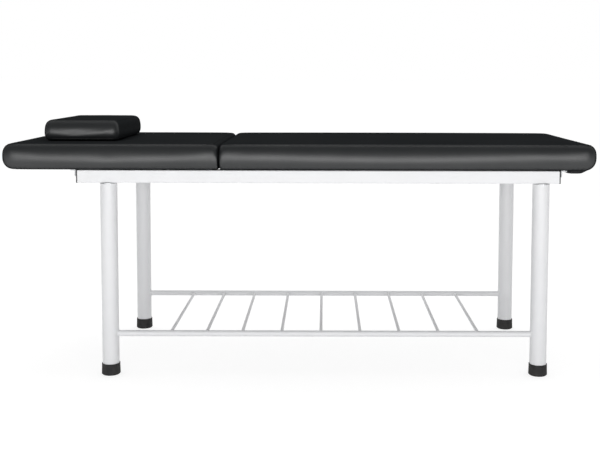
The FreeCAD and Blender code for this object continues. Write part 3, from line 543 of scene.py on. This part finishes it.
def subdivided(mesh):
    holder = helper(mesh)
    finer = holder.modifiers.new("finer", "SUBSURF")
    finer.levels = finer.render_levels = 1
    return settled(holder)


def softened(mesh, rounds):
    """Evens out small steps in a mesh."""
    bm = bmesh_of(mesh)
    for _ in range(rounds):
        bmesh.ops.smooth_vert(bm, verts=bm.verts, factor=0.5, use_axis_x=True, use_axis_y=True,
                              use_axis_z=True)
    bm.to_mesh(mesh)
    bm.free()
    return mesh


# %% A block with rounded outer corners
CORNER_SEGMENTS = 8


def rounded_block(low, high, picked, corner, segments=CORNER_SEGMENTS):
    """A block whose edges that pass a test are rounded."""
    low, high = Vector(low), Vector(high)
    bm = bmesh.new()
    bmesh.ops.create_cube(bm, size=1)
    bmesh.ops.scale(bm, vec=high - low, verts=bm.verts)
    bmesh.ops.translate(bm, vec=(high + low) / 2, verts=bm.verts)
    bmesh.ops.bevel(bm, geom=[e for e in bm.edges if picked(e)], offset=corner, segments=segments,
                    affect="EDGES", profile=0.5, material=-1)
    return bm


def sliced(bm, heights):
    """Cuts a block level at each height, so that its sides can be shaped there."""
    for height in heights:
        bmesh.ops.bisect_plane(bm, geom=bm.verts[:] + bm.edges[:] + bm.faces[:],
                               plane_co=(0, 0, height), plane_no=(0, 0, 1))


def upright(edge):
    return abs(edge.verts[0].co.z - edge.verts[1].co.z) > 0.02


def upright_at_end(edge):
    """True for the upright edges, apart from those at the split."""
    return upright(edge) and abs(edge.verts[0].co.x - SPLIT_X) > 0.1


def cushion_block(end, side):
    """One padded section as a block with the side profile; its free sides bulge a little."""
    free_end = end + side * END_GROWTH
    split_end = SPLIT_X + side * SPLIT_GAP
    reach = HALF_WIDTH + SIDE_GROWTH
    x_low, x_high = sorted((free_end, split_end))
    bm = rounded_block((x_low, -reach, SEAT_Z), (x_high, reach, TOP_Z), upright_at_end, PLAN_CORNER)
    sliced(bm, [SEAT_Z + height for height in SIDE_HEIGHTS[1:-1]])
    x_low, x_high = sorted((free_end - side * PLAN_CORNER, split_end))
    y_high = reach - PLAN_CORNER
    for vert in bm.verts:
        x, y = clamped(vert.co.x, x_low, x_high), clamped(vert.co.y, -y_high, y_high)
        outward = vert.co - Vector((x, y, vert.co.z))
        if outward.length > 1e-6:
            inset = float(np.interp(vert.co.z - SEAT_Z, SIDE_HEIGHTS, SIDE_INSETS))
            vert.co -= outward.normalized() * inset
    return bm


# %% [markdown]
# Where the two sections meet, the cover of each turns down into the split. The top edge is
# rolled over, and the two corners of the top panel are rounded off more the higher they are, so
# that a small dimple shows at the side of the bed.

# %% Roll the edges at the split
SPLIT_EDGE = 0.010
SPLIT_CORNER = 0.045
SPLIT_DIMPLE = 0.034
SPLIT_ROUND = 0.0065
FOOT_ROUND = 0.010


def roll_into_split(co):
    """Lowers the top near the split edge and its corners, as a height that no vertex passes."""
    from_split = np.abs(co[:, 0] - SPLIT_X)
    from_side = HALF_WIDTH - np.abs(co[:, 1])
    corner_radius = from_split + from_side + np.sqrt(2 * from_split * np.clip(from_side, 0, None))
    share = 1 - smoothstep(corner_radius, 0, SPLIT_CORNER)
    limit = TOP_Z - fallen(from_split, SPLIT_EDGE) - SPLIT_DIMPLE * share
    base = SEAT_Z + 0.04
    co[:, 2] = np.where(co[:, 2] > base, np.minimum(co[:, 2], np.maximum(limit, base)), co[:, 2])
    return co


def squared_at_split(co):
    """The remesh rounds the edges at the split too much; this draws them out again."""
    from_split = np.clip(np.abs(co[:, 0] - SPLIT_X) - SPLIT_GAP, 0, None)
    at_side = smoothstep(np.abs(co[:, 1]), HALF_WIDTH - 0.05, HALF_WIDTH - 0.02)
    low = 1 - smoothstep(co[:, 2], SEAT_Z + 0.004, SEAT_Z + 0.02)
    sideways = (0.65 + 0.5 * low) * fallen(from_split, SPLIT_ROUND) * at_side
    at_split = 1 - smoothstep(np.clip(from_split, 0, FOOT_ROUND), 0.003, FOOT_ROUND)
    inward = 0.7 * fallen(co[:, 2] - SEAT_Z, FOOT_ROUND) * at_split
    co[:, 1] += np.sign(co[:, 1]) * sideways
    co[:, 2] -= fallen(from_split, FOOT_ROUND) * low
    co[:, 0] -= np.sign(co[:, 0] - SPLIT_X) * inward
    return co


# %% Blow a form up as cloth
PRESSURE = 4.0
STEPS = 16
CALM = 10


def blown(mesh, held, cap, name, rise):
    """The mesh swollen by air pressure, each point moved by no more than the cap, less upwards."""
    rest = places(mesh)
    holder = helper(mesh)
    group = holder.vertex_groups.new(name="held")
    for weight in np.unique(held):
        if weight > 0:
            group.add(np.nonzero(held == weight)[0].tolist(), float(weight), "REPLACE")
    cloth = holder.modifiers.new("cloth", "CLOTH")
    cloth.settings.use_pressure = True
    cloth.settings.uniform_pressure_force = PRESSURE
    cloth.settings.effector_weights.gravity = 0
    cloth.settings.vertex_group_mass = "held"
    for step in range(1, STEPS + 1):
        scene.frame_set(step)
    evaluated = holder.evaluated_get(bpy.context.evaluated_depsgraph_get())
    moved = places(evaluated.data) - rest
    moved[:, 2] *= rise
    # the way that each point moved is evened out as if it were a mesh of its own
    put(mesh, moved)
    moved = places(softened(mesh, CALM))
    print(name, "swells", (moved.max(axis=0) * 1000).round(1), (moved.min(axis=0) * 1000).round(1))
    length = np.linalg.norm(moved, axis=1, keepdims=True)
    put(mesh, rest + moved * np.minimum(1, cap / np.maximum(length, 1e-9)))
    bpy.data.objects.remove(holder)
    scene.frame_set(1)
    return mesh


# %% [markdown]
# The seam between the top panel and the boxing runs all round, a finger's width in from the side.
# It holds the vinyl down while the padding swells on both sides of it.

# %% The seam line in plan
SEAM_INSET = 0.0175
SEAM_CORNER = 0.030
GATHER_DEPTH, GATHER_PITCH, GATHER_REACH = 0.00025, 0.023, 0.012
VALLEY_DEPTH, VALLEY_REACH = 0.0013, 0.0035


def seam_distance(co, end, side):
    """How far each point lies outside the seam line in plan; inside it is negative."""
    seam_end = end + side * (END_GROWTH - SEAM_INSET)
    x_low, x_high = sorted((seam_end, SPLIT_X + side * (SPLIT_GAP + SEAM_INSET)))
    centre = np.array([(x_low + x_high) / 2, 0.0])
    half = np.array([(x_high - x_low) / 2, HALF_WIDTH - SEAM_INSET]) - SEAM_CORNER
    off = np.abs(co[:, :2] - centre) - half
    outside = np.linalg.norm(np.clip(off, 0, None), axis=1)
    return outside + np.clip(off.max(axis=1), None, 0) - SEAM_CORNER


def drawn_at_seam(co, end, side):
    """The seam pulls a small valley, gathered a little every thumb's width."""
    away = seam_distance(co, end, side)
    along = co[:, 0] + co[:, 1] * 0.7
    gathers = GATHER_DEPTH * np.sin(along * 2 * math.pi / GATHER_PITCH)
    gathers *= np.exp(-(away / GATHER_REACH) ** 2)
    valley = VALLEY_DEPTH * np.exp(-(away / VALLEY_REACH) ** 2) - gathers
    co[:, 2] -= valley * smoothstep(co[:, 2], SEAT_Z + 0.05, SEAT_Z + 0.07)


# %% The underside, the dent of the pillow and the pleats
LIP_START = FOOT_X - 0.087
OPEN_SIDE = 0.249
OPEN_FROM_SPLIT = 0.047
OPEN_FROM_HEAD, OPEN_FROM_FOOT = 0.076, 0.099
OPEN_RISE, HEM_RISE = 0.0020, 0.0001
DENT_FADE = 0.05
PLEATS = 5
PLEAT_DEPTH = 0.0012
PLEAT_CENTRE = 0.062


def flat_underneath(co, end, side):
    """Flat where the vinyl is turned in under the board; the middle is left open."""
    open_end = end - side * (OPEN_FROM_HEAD if side < 0 else OPEN_FROM_FOOT)
    x_low, x_high = sorted((SPLIT_X + side * OPEN_FROM_SPLIT, open_end))
    opened = (np.abs(co[:, 1]) < OPEN_SIDE) & (co[:, 0] > x_low) & (co[:, 0] < x_high)
    lip = (side > 0) & (co[:, 0] > LIP_START)
    underside = (co[:, 2] < SEAT_Z + 0.006) & ~lip
    base = SEAT_Z + np.where(opened, OPEN_RISE, HEM_RISE)
    co[:, 2] = np.where(underside, np.maximum(co[:, 2], base), co[:, 2])


def pressed_by_pillow(co):
    """Brings the top down to the underside of the pillow, where the pillow lies."""
    x, y = co[:, 0], np.abs(co[:, 1])
    pressed = (smoothstep(x, PILLOW_LOW.x - DENT_FADE, PILLOW_LOW.x)
               * (1 - smoothstep(x, PILLOW_HIGH.x, PILLOW_HIGH.x + DENT_FADE))
               * (1 - smoothstep(y, PILLOW_HIGH.y, PILLOW_HIGH.y + DENT_FADE)))
    co[:, 2] -= np.clip(co[:, 2] - (PILLOW_BASE - 0.0002), 0, None) * pressed


def pleated(co, end, side):
    """Pleats fan out where the vinyl is folded round the outer corners of the board."""
    for across in (-1, 1):
        centre = np.array([end - side * PLEAT_CENTRE, across * (HALF_WIDTH - PLEAT_CENTRE)])
        off = (co[:, :2] - centre) * np.array([side, across])
        radius = np.linalg.norm(off, axis=1)
        angle = np.arctan2(off[:, 1], off[:, 0])
        fan = (smoothstep(radius, 0.022, 0.036) * (1 - smoothstep(radius, 0.052, 0.064))
               * (1 - smoothstep(co[:, 2], SEAT_Z + 0.004, SEAT_Z + 0.016)) * (off.min(axis=1) > -0.01))
        co[:, 2] += PLEAT_DEPTH * fan * (0.5 - 0.5 * np.cos(angle * 4 * PLEATS))


# %% Make both sections
VOXEL = 0.0075
SWELL = 0.0055
TOP_SWELL = 0.3
LIP_LOW = (FOOT_X - 0.086, -0.285, SEAT_Z - 0.0115)
LIP_HIGH = (FOOT_X - 0.0225, 0.285, SEAT_Z + 0.03)
LIP_ROUND = 0.011


def section(name, end, side, replaced):
    """A shaped block, made even, rolled into the split, blown up and then marked by its sewing."""
    bm = cushion_block(end, side)
    if side > 0:
        bm.from_mesh(mesh_of(rounded_block(LIP_LOW, LIP_HIGH, lambda edge: True, LIP_ROUND, 4)))
    mesh = evened(bm, VOXEL)
    put(mesh, roll_into_split(places(mesh)))
    mesh = softened(evened(bmesh_of(mesh), VOXEL), 2)
    co = places(mesh)
    at_seam = np.abs(seam_distance(co, end, side)) < 0.004
    held = np.where(at_seam & (co[:, 2] > SEAT_Z + 0.06), 0.6, 0.0)
    held[co[:, 2] < SEAT_Z + 0.004] = 1.0
    held[np.abs(co[:, 0] - SPLIT_X) < 0.0025] = 1.0
    mesh = blown(mesh, held, SWELL, name, TOP_SWELL)
    mesh = subdivided(softened(mesh, 2))
    co = squared_at_split(places(mesh))
    drawn_at_seam(co, end, side)
    flat_underneath(co, end, side)
    pressed_by_pillow(co)
    co[:, 0] = SPLIT_X + side * np.maximum(side * (co[:, 0] - SPLIT_X), SPLIT_GAP)
    pleated(co, end, side)
    put(mesh, co)
    piece = piece_of_mesh(name, mesh, vinyl)
    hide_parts(*replaced)
    return piece


head_cushion = section("head_cushion", HEAD_X, -1, ("head_cover", "head_foam"))
main_cushion = section("main_cushion", FOOT_X, 1, ("main_cover", "main_foam"))

# %% [markdown]
# ## Welts
# A slim vinyl cord is sewn into each seam and stands a little above it. In life it is a strip
# folded over a cord; here a round tube follows the seam, laid on the padding by casting a ray
# down at every step.

# %% Lay a welt along a seam
WELT_RADIUS = 0.0014
WELT_STEP = 0.004


def turned_corners(low, high, corner, steps):
    """Points round the four corners of a rectangle, each corner a quarter circle."""
    points = []
    middle = ((low[0] + high[0]) / 2, (low[1] + high[1]) / 2)
    turns = ((high[0], high[1]), (low[0], high[1]), (low[0], low[1]), (high[0], low[1]))
    for quarter, (x, y) in enumerate(turns):
        centre = Vector((x - math.copysign(corner, x - middle[0]),
                         y - math.copysign(corner, y - middle[1])))
        for i in range(steps + 1):
            angle = (quarter + i / steps) * math.pi / 2
            points.append(centre + corner * Vector((math.cos(angle), math.sin(angle))))
    return points


def stepped(points, step):
    """A closed line through the points, in steps of nearly the same length."""
    loop = []
    for start, stop in zip(points, points[1:] + points[:1]):
        count = max(1, round((stop - start).length / step))
        loop += [start.lerp(stop, i / count) for i in range(count)]
    return loop


def tube_along(path, radius, resolution=2):
    """A closed round tube along a path."""
    curve = bpy.data.curves.new("tube", "CURVE")
    curve.dimensions = "3D"
    curve.bevel_depth = radius
    curve.bevel_resolution = resolution
    spline = curve.splines.new("POLY")
    spline.points.add(len(path) - 1)
    for point, place in zip(spline.points, path):
        point.co = (*place, 1)
    spline.use_cyclic_u = True
    return settled(helper(curve))


def surface_of(piece):
    """The surface of a piece, ready for rays."""
    bm = bmesh_of(piece.data)
    tree = BVHTree.FromBMesh(bm)
    bm.free()
    return tree


def welt(name, piece, low, high):
    """A welt on a section, laid from above along its seam."""
    surface = surface_of(piece)
    plan = stepped(turned_corners(low, high, SEAM_CORNER, CORNER_SEGMENTS), WELT_STEP)
    heights = [surface.ray_cast(Vector((x, y, 1)), Vector((0, 0, -1)))[0].z for x, y in plan]
    smooth = np.convolve(np.array(heights[-3:] + heights + heights[:3]), np.ones(7) / 7, "valid")
    path = [(x, y, z) for (x, y), z in zip(plan, smooth)]
    return piece_of_mesh(name, tube_along(path, WELT_RADIUS), vinyl)


WELT_REACH = HALF_WIDTH - SEAM_INSET
SPLIT_SEAM = SPLIT_GAP + SEAM_INSET
head_welt = welt("head_welt", head_cushion, (HEAD_X - END_GROWTH + SEAM_INSET, -WELT_REACH),
                 (SPLIT_X - SPLIT_SEAM, WELT_REACH))
main_welt = welt("main_welt", main_cushion, (SPLIT_X + SPLIT_SEAM, -WELT_REACH),
                 (FOOT_X + END_GROWTH - SEAM_INSET, WELT_REACH))

# %% [markdown]
# ## Pillow
# A small firm pillow lies loose on the head section. It is made the same way as the sections:
# a rounded block, an even mesh, a little air.

# %% Pillow
PILLOW_GROWTH = Vector((0.0025, 0.0015, 0))
PILLOW_CORNER = 0.026
PILLOW_VOXEL = 0.005
PILLOW_SWELL = 0.0018
PILLOW_TOP_SWELL = 0.12
# how far the sides stand in, at shares of the height; the long sides are rounder than the ends
PILLOW_SHARES = (0, 0.03, 0.08, 0.16, 0.26, 0.38, 0.5, 0.62, 0.74, 0.84, 0.92, 0.97, 1)
PILLOW_SIDE_INSETS = (0.030, 0.020, 0.0125, 0.0065, 0.0028, 0.0007, 0, 0.0010, 0.0042, 0.0095,
                      0.0165, 0.0235, 0.033)
PILLOW_END_INSETS = (0.016, 0.010, 0.0060, 0.0028, 0.0010, 0, 0, 0.0004, 0.0016, 0.0042, 0.0085,
                     0.0140, 0.022)


def pillow_form():
    """A block with rounder long sides than ends."""
    low, high = PILLOW_LOW - PILLOW_GROWTH, PILLOW_HIGH + PILLOW_GROWTH
    low.z = PILLOW_BASE
    tall = high.z - low.z
    bm = rounded_block(low, high, upright, PILLOW_CORNER)
    sliced(bm, [low.z + share * tall for share in PILLOW_SHARES[1:-1]])
    for vert in bm.verts:
        share = (vert.co.z - low.z) / tall
        core = [clamped(vert.co[i], low[i] + PILLOW_CORNER, high[i] - PILLOW_CORNER) for i in range(2)]
        outward = (vert.co - Vector((*core, vert.co.z))).normalized()
        vert.co.x -= outward.x * float(np.interp(share, PILLOW_SHARES, PILLOW_END_INSETS))
        vert.co.y -= outward.y * float(np.interp(share, PILLOW_SHARES, PILLOW_SIDE_INSETS))
    return bm


mesh = softened(evened(pillow_form(), PILLOW_VOXEL), 2)
held = np.where(places(mesh)[:, 2] < PILLOW_BASE + 0.006, 1.0, 0.0)
mesh = blown(mesh, held, PILLOW_SWELL, "pillow", PILLOW_TOP_SWELL)
mesh = subdivided(softened(mesh, 2))
co = places(mesh)
co[:, 2] = np.maximum(co[:, 2], PILLOW_BASE)
put(mesh, co)
pillow = piece_of_mesh("pillow", mesh, vinyl, "pillow")
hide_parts("pillow_cover", "pillow_foam")

# %% [markdown]
# ## Pillow seams
# The pillow cover is sewn from two panels and a band, so a fine welt runs round the top edge and
# another round the bottom. The padding between them bulges.

# %% Pillow welts
PILLOW_WELT_RADIUS = 0.0010
PILLOW_WELT_SHARES = {"top": 0.93, "base": 0.07}
pillow_surface = surface_of(pillow)
pillow_middle = (PILLOW_HIGH + PILLOW_LOW) / 2
corners = turned_corners(PILLOW_LOW.xy, PILLOW_HIGH.xy, PILLOW_CORNER, CORNER_SEGMENTS)
plan = stepped(corners, WELT_STEP)
for level, share in PILLOW_WELT_SHARES.items():
    z = PILLOW_LOW.z + share * (PILLOW_HIGH - PILLOW_LOW).z
    path = []
    for x, y in plan:
        inward = Vector((pillow_middle.x - x, pillow_middle.y - y, 0)).normalized()
        path.append(pillow_surface.ray_cast(Vector((x, y, z)) - inward * 0.02, inward)[0])
    smooth = [sum((path[(i + k) % len(path)] for k in range(-2, 3)), Vector()) / 5
              for i in range(len(path))]
    mesh = tube_along(smooth, PILLOW_WELT_RADIUS)
    piece_of_mesh("pillow_welt_" + level, mesh, vinyl, "pillow")

# %% [markdown]
# ## Staples
# Under the bed the vinyl is turned in and stapled to the board, and the dust cloth is stapled
# inside it. Each staple is a short bar of flattened wire; none sits where steel touches the board.

# %% Staples under both sections
STAPLE = Vector((0.0105, 0.0013, 0.0007))
# two rows, given as the distance inside the edge of the dust cloth and the pitch
STAPLE_ROWS = ((-0.008, 0.042), (0.006, 0.068))
KEEP_OFF = ("rail", "hinge", "prop_bracket")
KEEP_OFF_MARGIN = 0.003
steel_boxes = [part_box(name) for name in nodes if any(word in name for word in KEEP_OFF)
               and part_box(name)[1].z > SEAT_Z - 0.004 and "plugs" not in name]
print("steel under the boards", len(steel_boxes))


def clear_of_steel(x, y):
    off = KEEP_OFF_MARGIN
    return not any(low.x - off < x < high.x + off and low.y - off < y < high.y + off
                   for low, high in steel_boxes)


def staples(name, low, high, body):
    """Staples along the sides of a rectangle under a board, in two rows."""
    bm = bmesh.new()
    count = 0
    for inset, pitch in STAPLE_ROWS:
        x0, x1, y0, y1 = low[0] + inset, high[0] - inset, low[1] + inset, high[1] - inset
        runs = ((x0, x1, y0, True), (x0, x1, y1, True), (y0, y1, x0, False), (y0, y1, x1, False))
        for start, stop, fixed, along_x in runs:
            number = int((stop - start) / pitch)
            for i in range(1, number):
                t = start + (stop - start) * i / number
                x, y = (t, fixed) if along_x else (fixed, t)
                if not clear_of_steel(x, y):
                    continue
                one = bmesh.ops.create_cube(bm, size=1)["verts"]
                bmesh.ops.scale(bm, vec=STAPLE, verts=one)
                spin = 0.06 * math.sin(37 * count) + (0 if along_x else math.pi / 2)
                bmesh.ops.rotate(bm, cent=(0, 0, 0), matrix=Matrix.Rotation(spin, 3, "Z"), verts=one)
                bmesh.ops.translate(bm, vec=(x, y, SEAT_Z - STAPLE.z * 0.2), verts=one)
                count += 1
    print(name, count)
    piece_from(name, bm, zinc, body)


staples("head_staples", *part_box("head_dust_cover"), "head_section")
staples("main_staples", *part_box("main_dust_cover"), "frame")

# %% [markdown]
# ## Weld beads
# The rack is welded: each cross bar meets a side rail, and each rail meets two legs, in a small
# rippled bead that follows the line where the two tubes cut into each other. A slimmer bead runs
# round both ends of every cross rail under the bed.

# %% Beads where round tubes meet
LEG_BEAD, BAR_BEAD, CROSS_BEAD = 0.0019, 0.0011, 0.0016
LEG_BEAD_STEPS, BAR_BEAD_STEPS = 40, 20
RIPPLE_SHARE, RIPPLE_PITCH = 0.18, 2400


def round_points(radius, steps):
    """Points round the end of a tube, as pairs across and up."""
    angles = [2 * math.pi * i / steps for i in range(steps)]
    return [(radius * math.cos(angle), radius * math.sin(angle)) for angle in angles]


def welded(name, paths, radius):
    """Rippled beads of white paint over steel, along closed paths."""
    bm = bmesh.new()
    for path in paths:
        bm.from_mesh(tube_along(path, radius, 1))
    bm.normal_update()
    for vert in bm.verts:
        phase = (vert.co.x + vert.co.y * 1.3 + vert.co.z * 1.7) * RIPPLE_PITCH
        vert.co += vert.normal * RIPPLE_SHARE * radius * math.sin(phase)
    piece_from(name, bm, white, "frame")


rails = {side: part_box("rack_rail_" + side) for side in ("front", "rear")}
rail_radius = (rails["front"][1].z - rails["front"][0].z) / 2
rail_middles = {side: (low + high) / 2 for side, (low, high) in rails.items()}
leg_paths = []
for name in nodes:
    if not name.endswith("_leg"):
        continue
    low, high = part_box(name)
    leg, leg_radius = (low + high) / 2, (high.y - low.y) / 2
    rail_z = rail_middles["front" if "front" in name else "rear"].z
    way = 1 if "head" in name else -1
    leg_paths.append([
        (leg.x + way * math.sqrt(leg_radius ** 2 - across ** 2), leg.y + across, rail_z + up)
        for across, up in round_points(rail_radius, LEG_BEAD_STEPS)])
welded("rack_rail_beads", leg_paths, LEG_BEAD)
bar_paths = []
for i in range(1, 10):
    low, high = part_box(f"rack_bar_{i}")
    bar_x, bar_radius = (low.x + high.x) / 2, (high.z - low.z) / 2
    for side, rail in rail_middles.items():
        way = 1 if side == "front" else -1
        bar_paths.append([
            (bar_x + across, rail.y + way * math.sqrt(rail_radius ** 2 - up ** 2), rail.z + up)
            for across, up in round_points(bar_radius, BAR_BEAD_STEPS)])
welded("rack_bar_beads", bar_paths, BAR_BEAD)

# %% Beads round the ends of the cross rails
CROSS_CORNER = 0.003
CROSS_STEP = 0.0025
cross_paths = []
inner_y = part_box("side_rail_rear")[0].y
for name in ("head_cross_rail", "hinge_cross_rail", "middle_cross_rail", "foot_cross_rail"):
    low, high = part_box(name)
    outline = turned_corners((low.x, low.z), (high.x, high.z - 0.001), CROSS_CORNER, 4)
    for way in (-1, 1):
        cross_paths.append([(x, way * inner_y, z) for x, z in stepped(outline, CROSS_STEP)])
welded("cross_rail_beads", cross_paths, CROSS_BEAD)

# %% [markdown]
# ## Rims of the rubber feet
# Each foot is a moulded cup pushed over the end of a leg. Its mouth ends in a soft rolled rim
# that grips the tube.

# %% Rolled rims
RIM_RADIUS = 0.0015
RIM_OFFSET = 0.0012
bm = bmesh.new()
for name in nodes:
    if not name.endswith("rubber_foot"):
        continue
    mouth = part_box(name)[1].z
    low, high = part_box(name.replace("_rubber_foot", "_leg"))
    middle, leg_radius = (low + high) / 2, (high.x - low.x) / 2
    rim = bmesh.ops.create_circle(bm, segments=8, radius=RIM_RADIUS)["verts"]
    bmesh.ops.rotate(bm, cent=(0, 0, 0), matrix=Matrix.Rotation(math.pi / 2, 3, "X"), verts=rim)
    bmesh.ops.translate(bm, vec=(middle.x + leg_radius + RIM_OFFSET, middle.y, mouth), verts=rim)
    ring = list({e for v in rim for e in v.link_edges})
    bmesh.ops.spin(bm, geom=rim + ring, cent=(middle.x, middle.y, mouth), axis=(0, 0, 1),
                   angle=2 * math.pi, steps=48, use_merge=True)
bmesh.ops.remove_doubles(bm, verts=bm.verts, dist=1e-5)
bmesh.ops.recalc_face_normals(bm, faces=bm.faces)
piece_from("foot_rims", bm, rubber, "frame")

# %% [markdown]
# ## Painted shade in the fastener heads
# The wood screws and board bolts under the bed have a cross recess and the leg bolts a hexagonal
# socket. The recess is not cut: at this size it reads as a dark shape in the head, so a thin piece
# of black plastic in its shape, a hair proud of the head, paints the shade that falls in the hole.

# %% Find each fastener and paint the shade of its recess
# thin black pieces that paint the shade inside the recesses; they stand a hair proud of the head's face
RECESS_SHADE_THICKNESS = 0.0004
RECESS_SHADE_PROUD = 0.00005
RECESS_SHADE_SUNK = RECESS_SHADE_THICKNESS / 2 - RECESS_SHADE_PROUD
CROSS_LENGTH, CROSS_WIDTH = 0.52, 0.11  # shares of the head
SOCKET_RADIUS = 0.0032


def loose_boxes(name):
    """The lowest and highest corner of every separate solid in a CAD node, from head to foot."""
    bm = bmesh_of(nodes[name].data)
    bm.transform(nodes[name].matrix_world)
    bmesh.ops.remove_doubles(bm, verts=bm.verts, dist=1e-5)
    waiting, boxes = set(bm.verts), []
    while waiting:
        front = [waiting.pop()]
        found = []
        while front:
            vert = front.pop()
            found.append(vert.co.copy())
            linked = [e.other_vert(vert) for e in vert.link_edges if e.other_vert(vert) in waiting]
            waiting.difference_update(linked)
            front += linked
        boxes.append([Vector([pick(c[i] for c in found) for i in range(3)]) for pick in (min, max)])
    bm.free()
    return sorted(boxes, key=lambda box: tuple(box[0]))


# two crossed black bars: painted shade in place of the shadow inside a cross recess
def cross_recess_shade(bm, centre, across, turn):
    for angle in (turn, turn + math.pi / 2):
        arm = bmesh.ops.create_cube(bm, size=1)["verts"]
        size = (across * CROSS_LENGTH, across * CROSS_WIDTH, RECESS_SHADE_THICKNESS)
        bmesh.ops.scale(bm, vec=size, verts=arm)
        bmesh.ops.rotate(bm, cent=(0, 0, 0), matrix=Matrix.Rotation(angle, 3, "Z"), verts=arm)
        bmesh.ops.translate(bm, vec=centre, verts=arm)


for name, body in (("head_screws", "head_section"), ("main_bolts", "frame")):
    bm = bmesh.new()
    for i, (low, high) in enumerate(loose_boxes(name)):
        middle = (low + high) / 2
        cross_recess_shade(bm, (middle.x, middle.y, low.z + RECESS_SHADE_SUNK), high.x - low.x, 0.7 * i)
    piece_from(name + "_recess_shade", bm, plastic, body)
bm = bmesh.new()
for low, high in loose_boxes("leg_bolts"):
    middle = (low + high) / 2
    inner_y = min((low.y, high.y), key=abs)
    # a black hexagon: painted shade in place of the shadow inside the hex socket
    socket = bmesh.ops.create_cone(bm, cap_ends=True, segments=6, radius1=SOCKET_RADIUS,
                                   radius2=SOCKET_RADIUS, depth=RECESS_SHADE_THICKNESS)["verts"]
    bmesh.ops.rotate(bm, cent=(0, 0, 0), matrix=Matrix.Rotation(math.pi / 2, 3, "X"), verts=socket)
    centre = (middle.x, inner_y + math.copysign(RECESS_SHADE_SUNK, inner_y), middle.z)
    bmesh.ops.translate(bm, vec=centre, verts=socket)
piece_from("leg_bolt_socket_shade", bm, plastic, "frame")

# %% [markdown]
# ## Placement baked in
# The two sections and their welts have their placement written into their vertices.

# %% Bake the placement into the sections and welts
for piece in (head_cushion, main_cushion, head_welt, main_welt):
    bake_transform(piece)
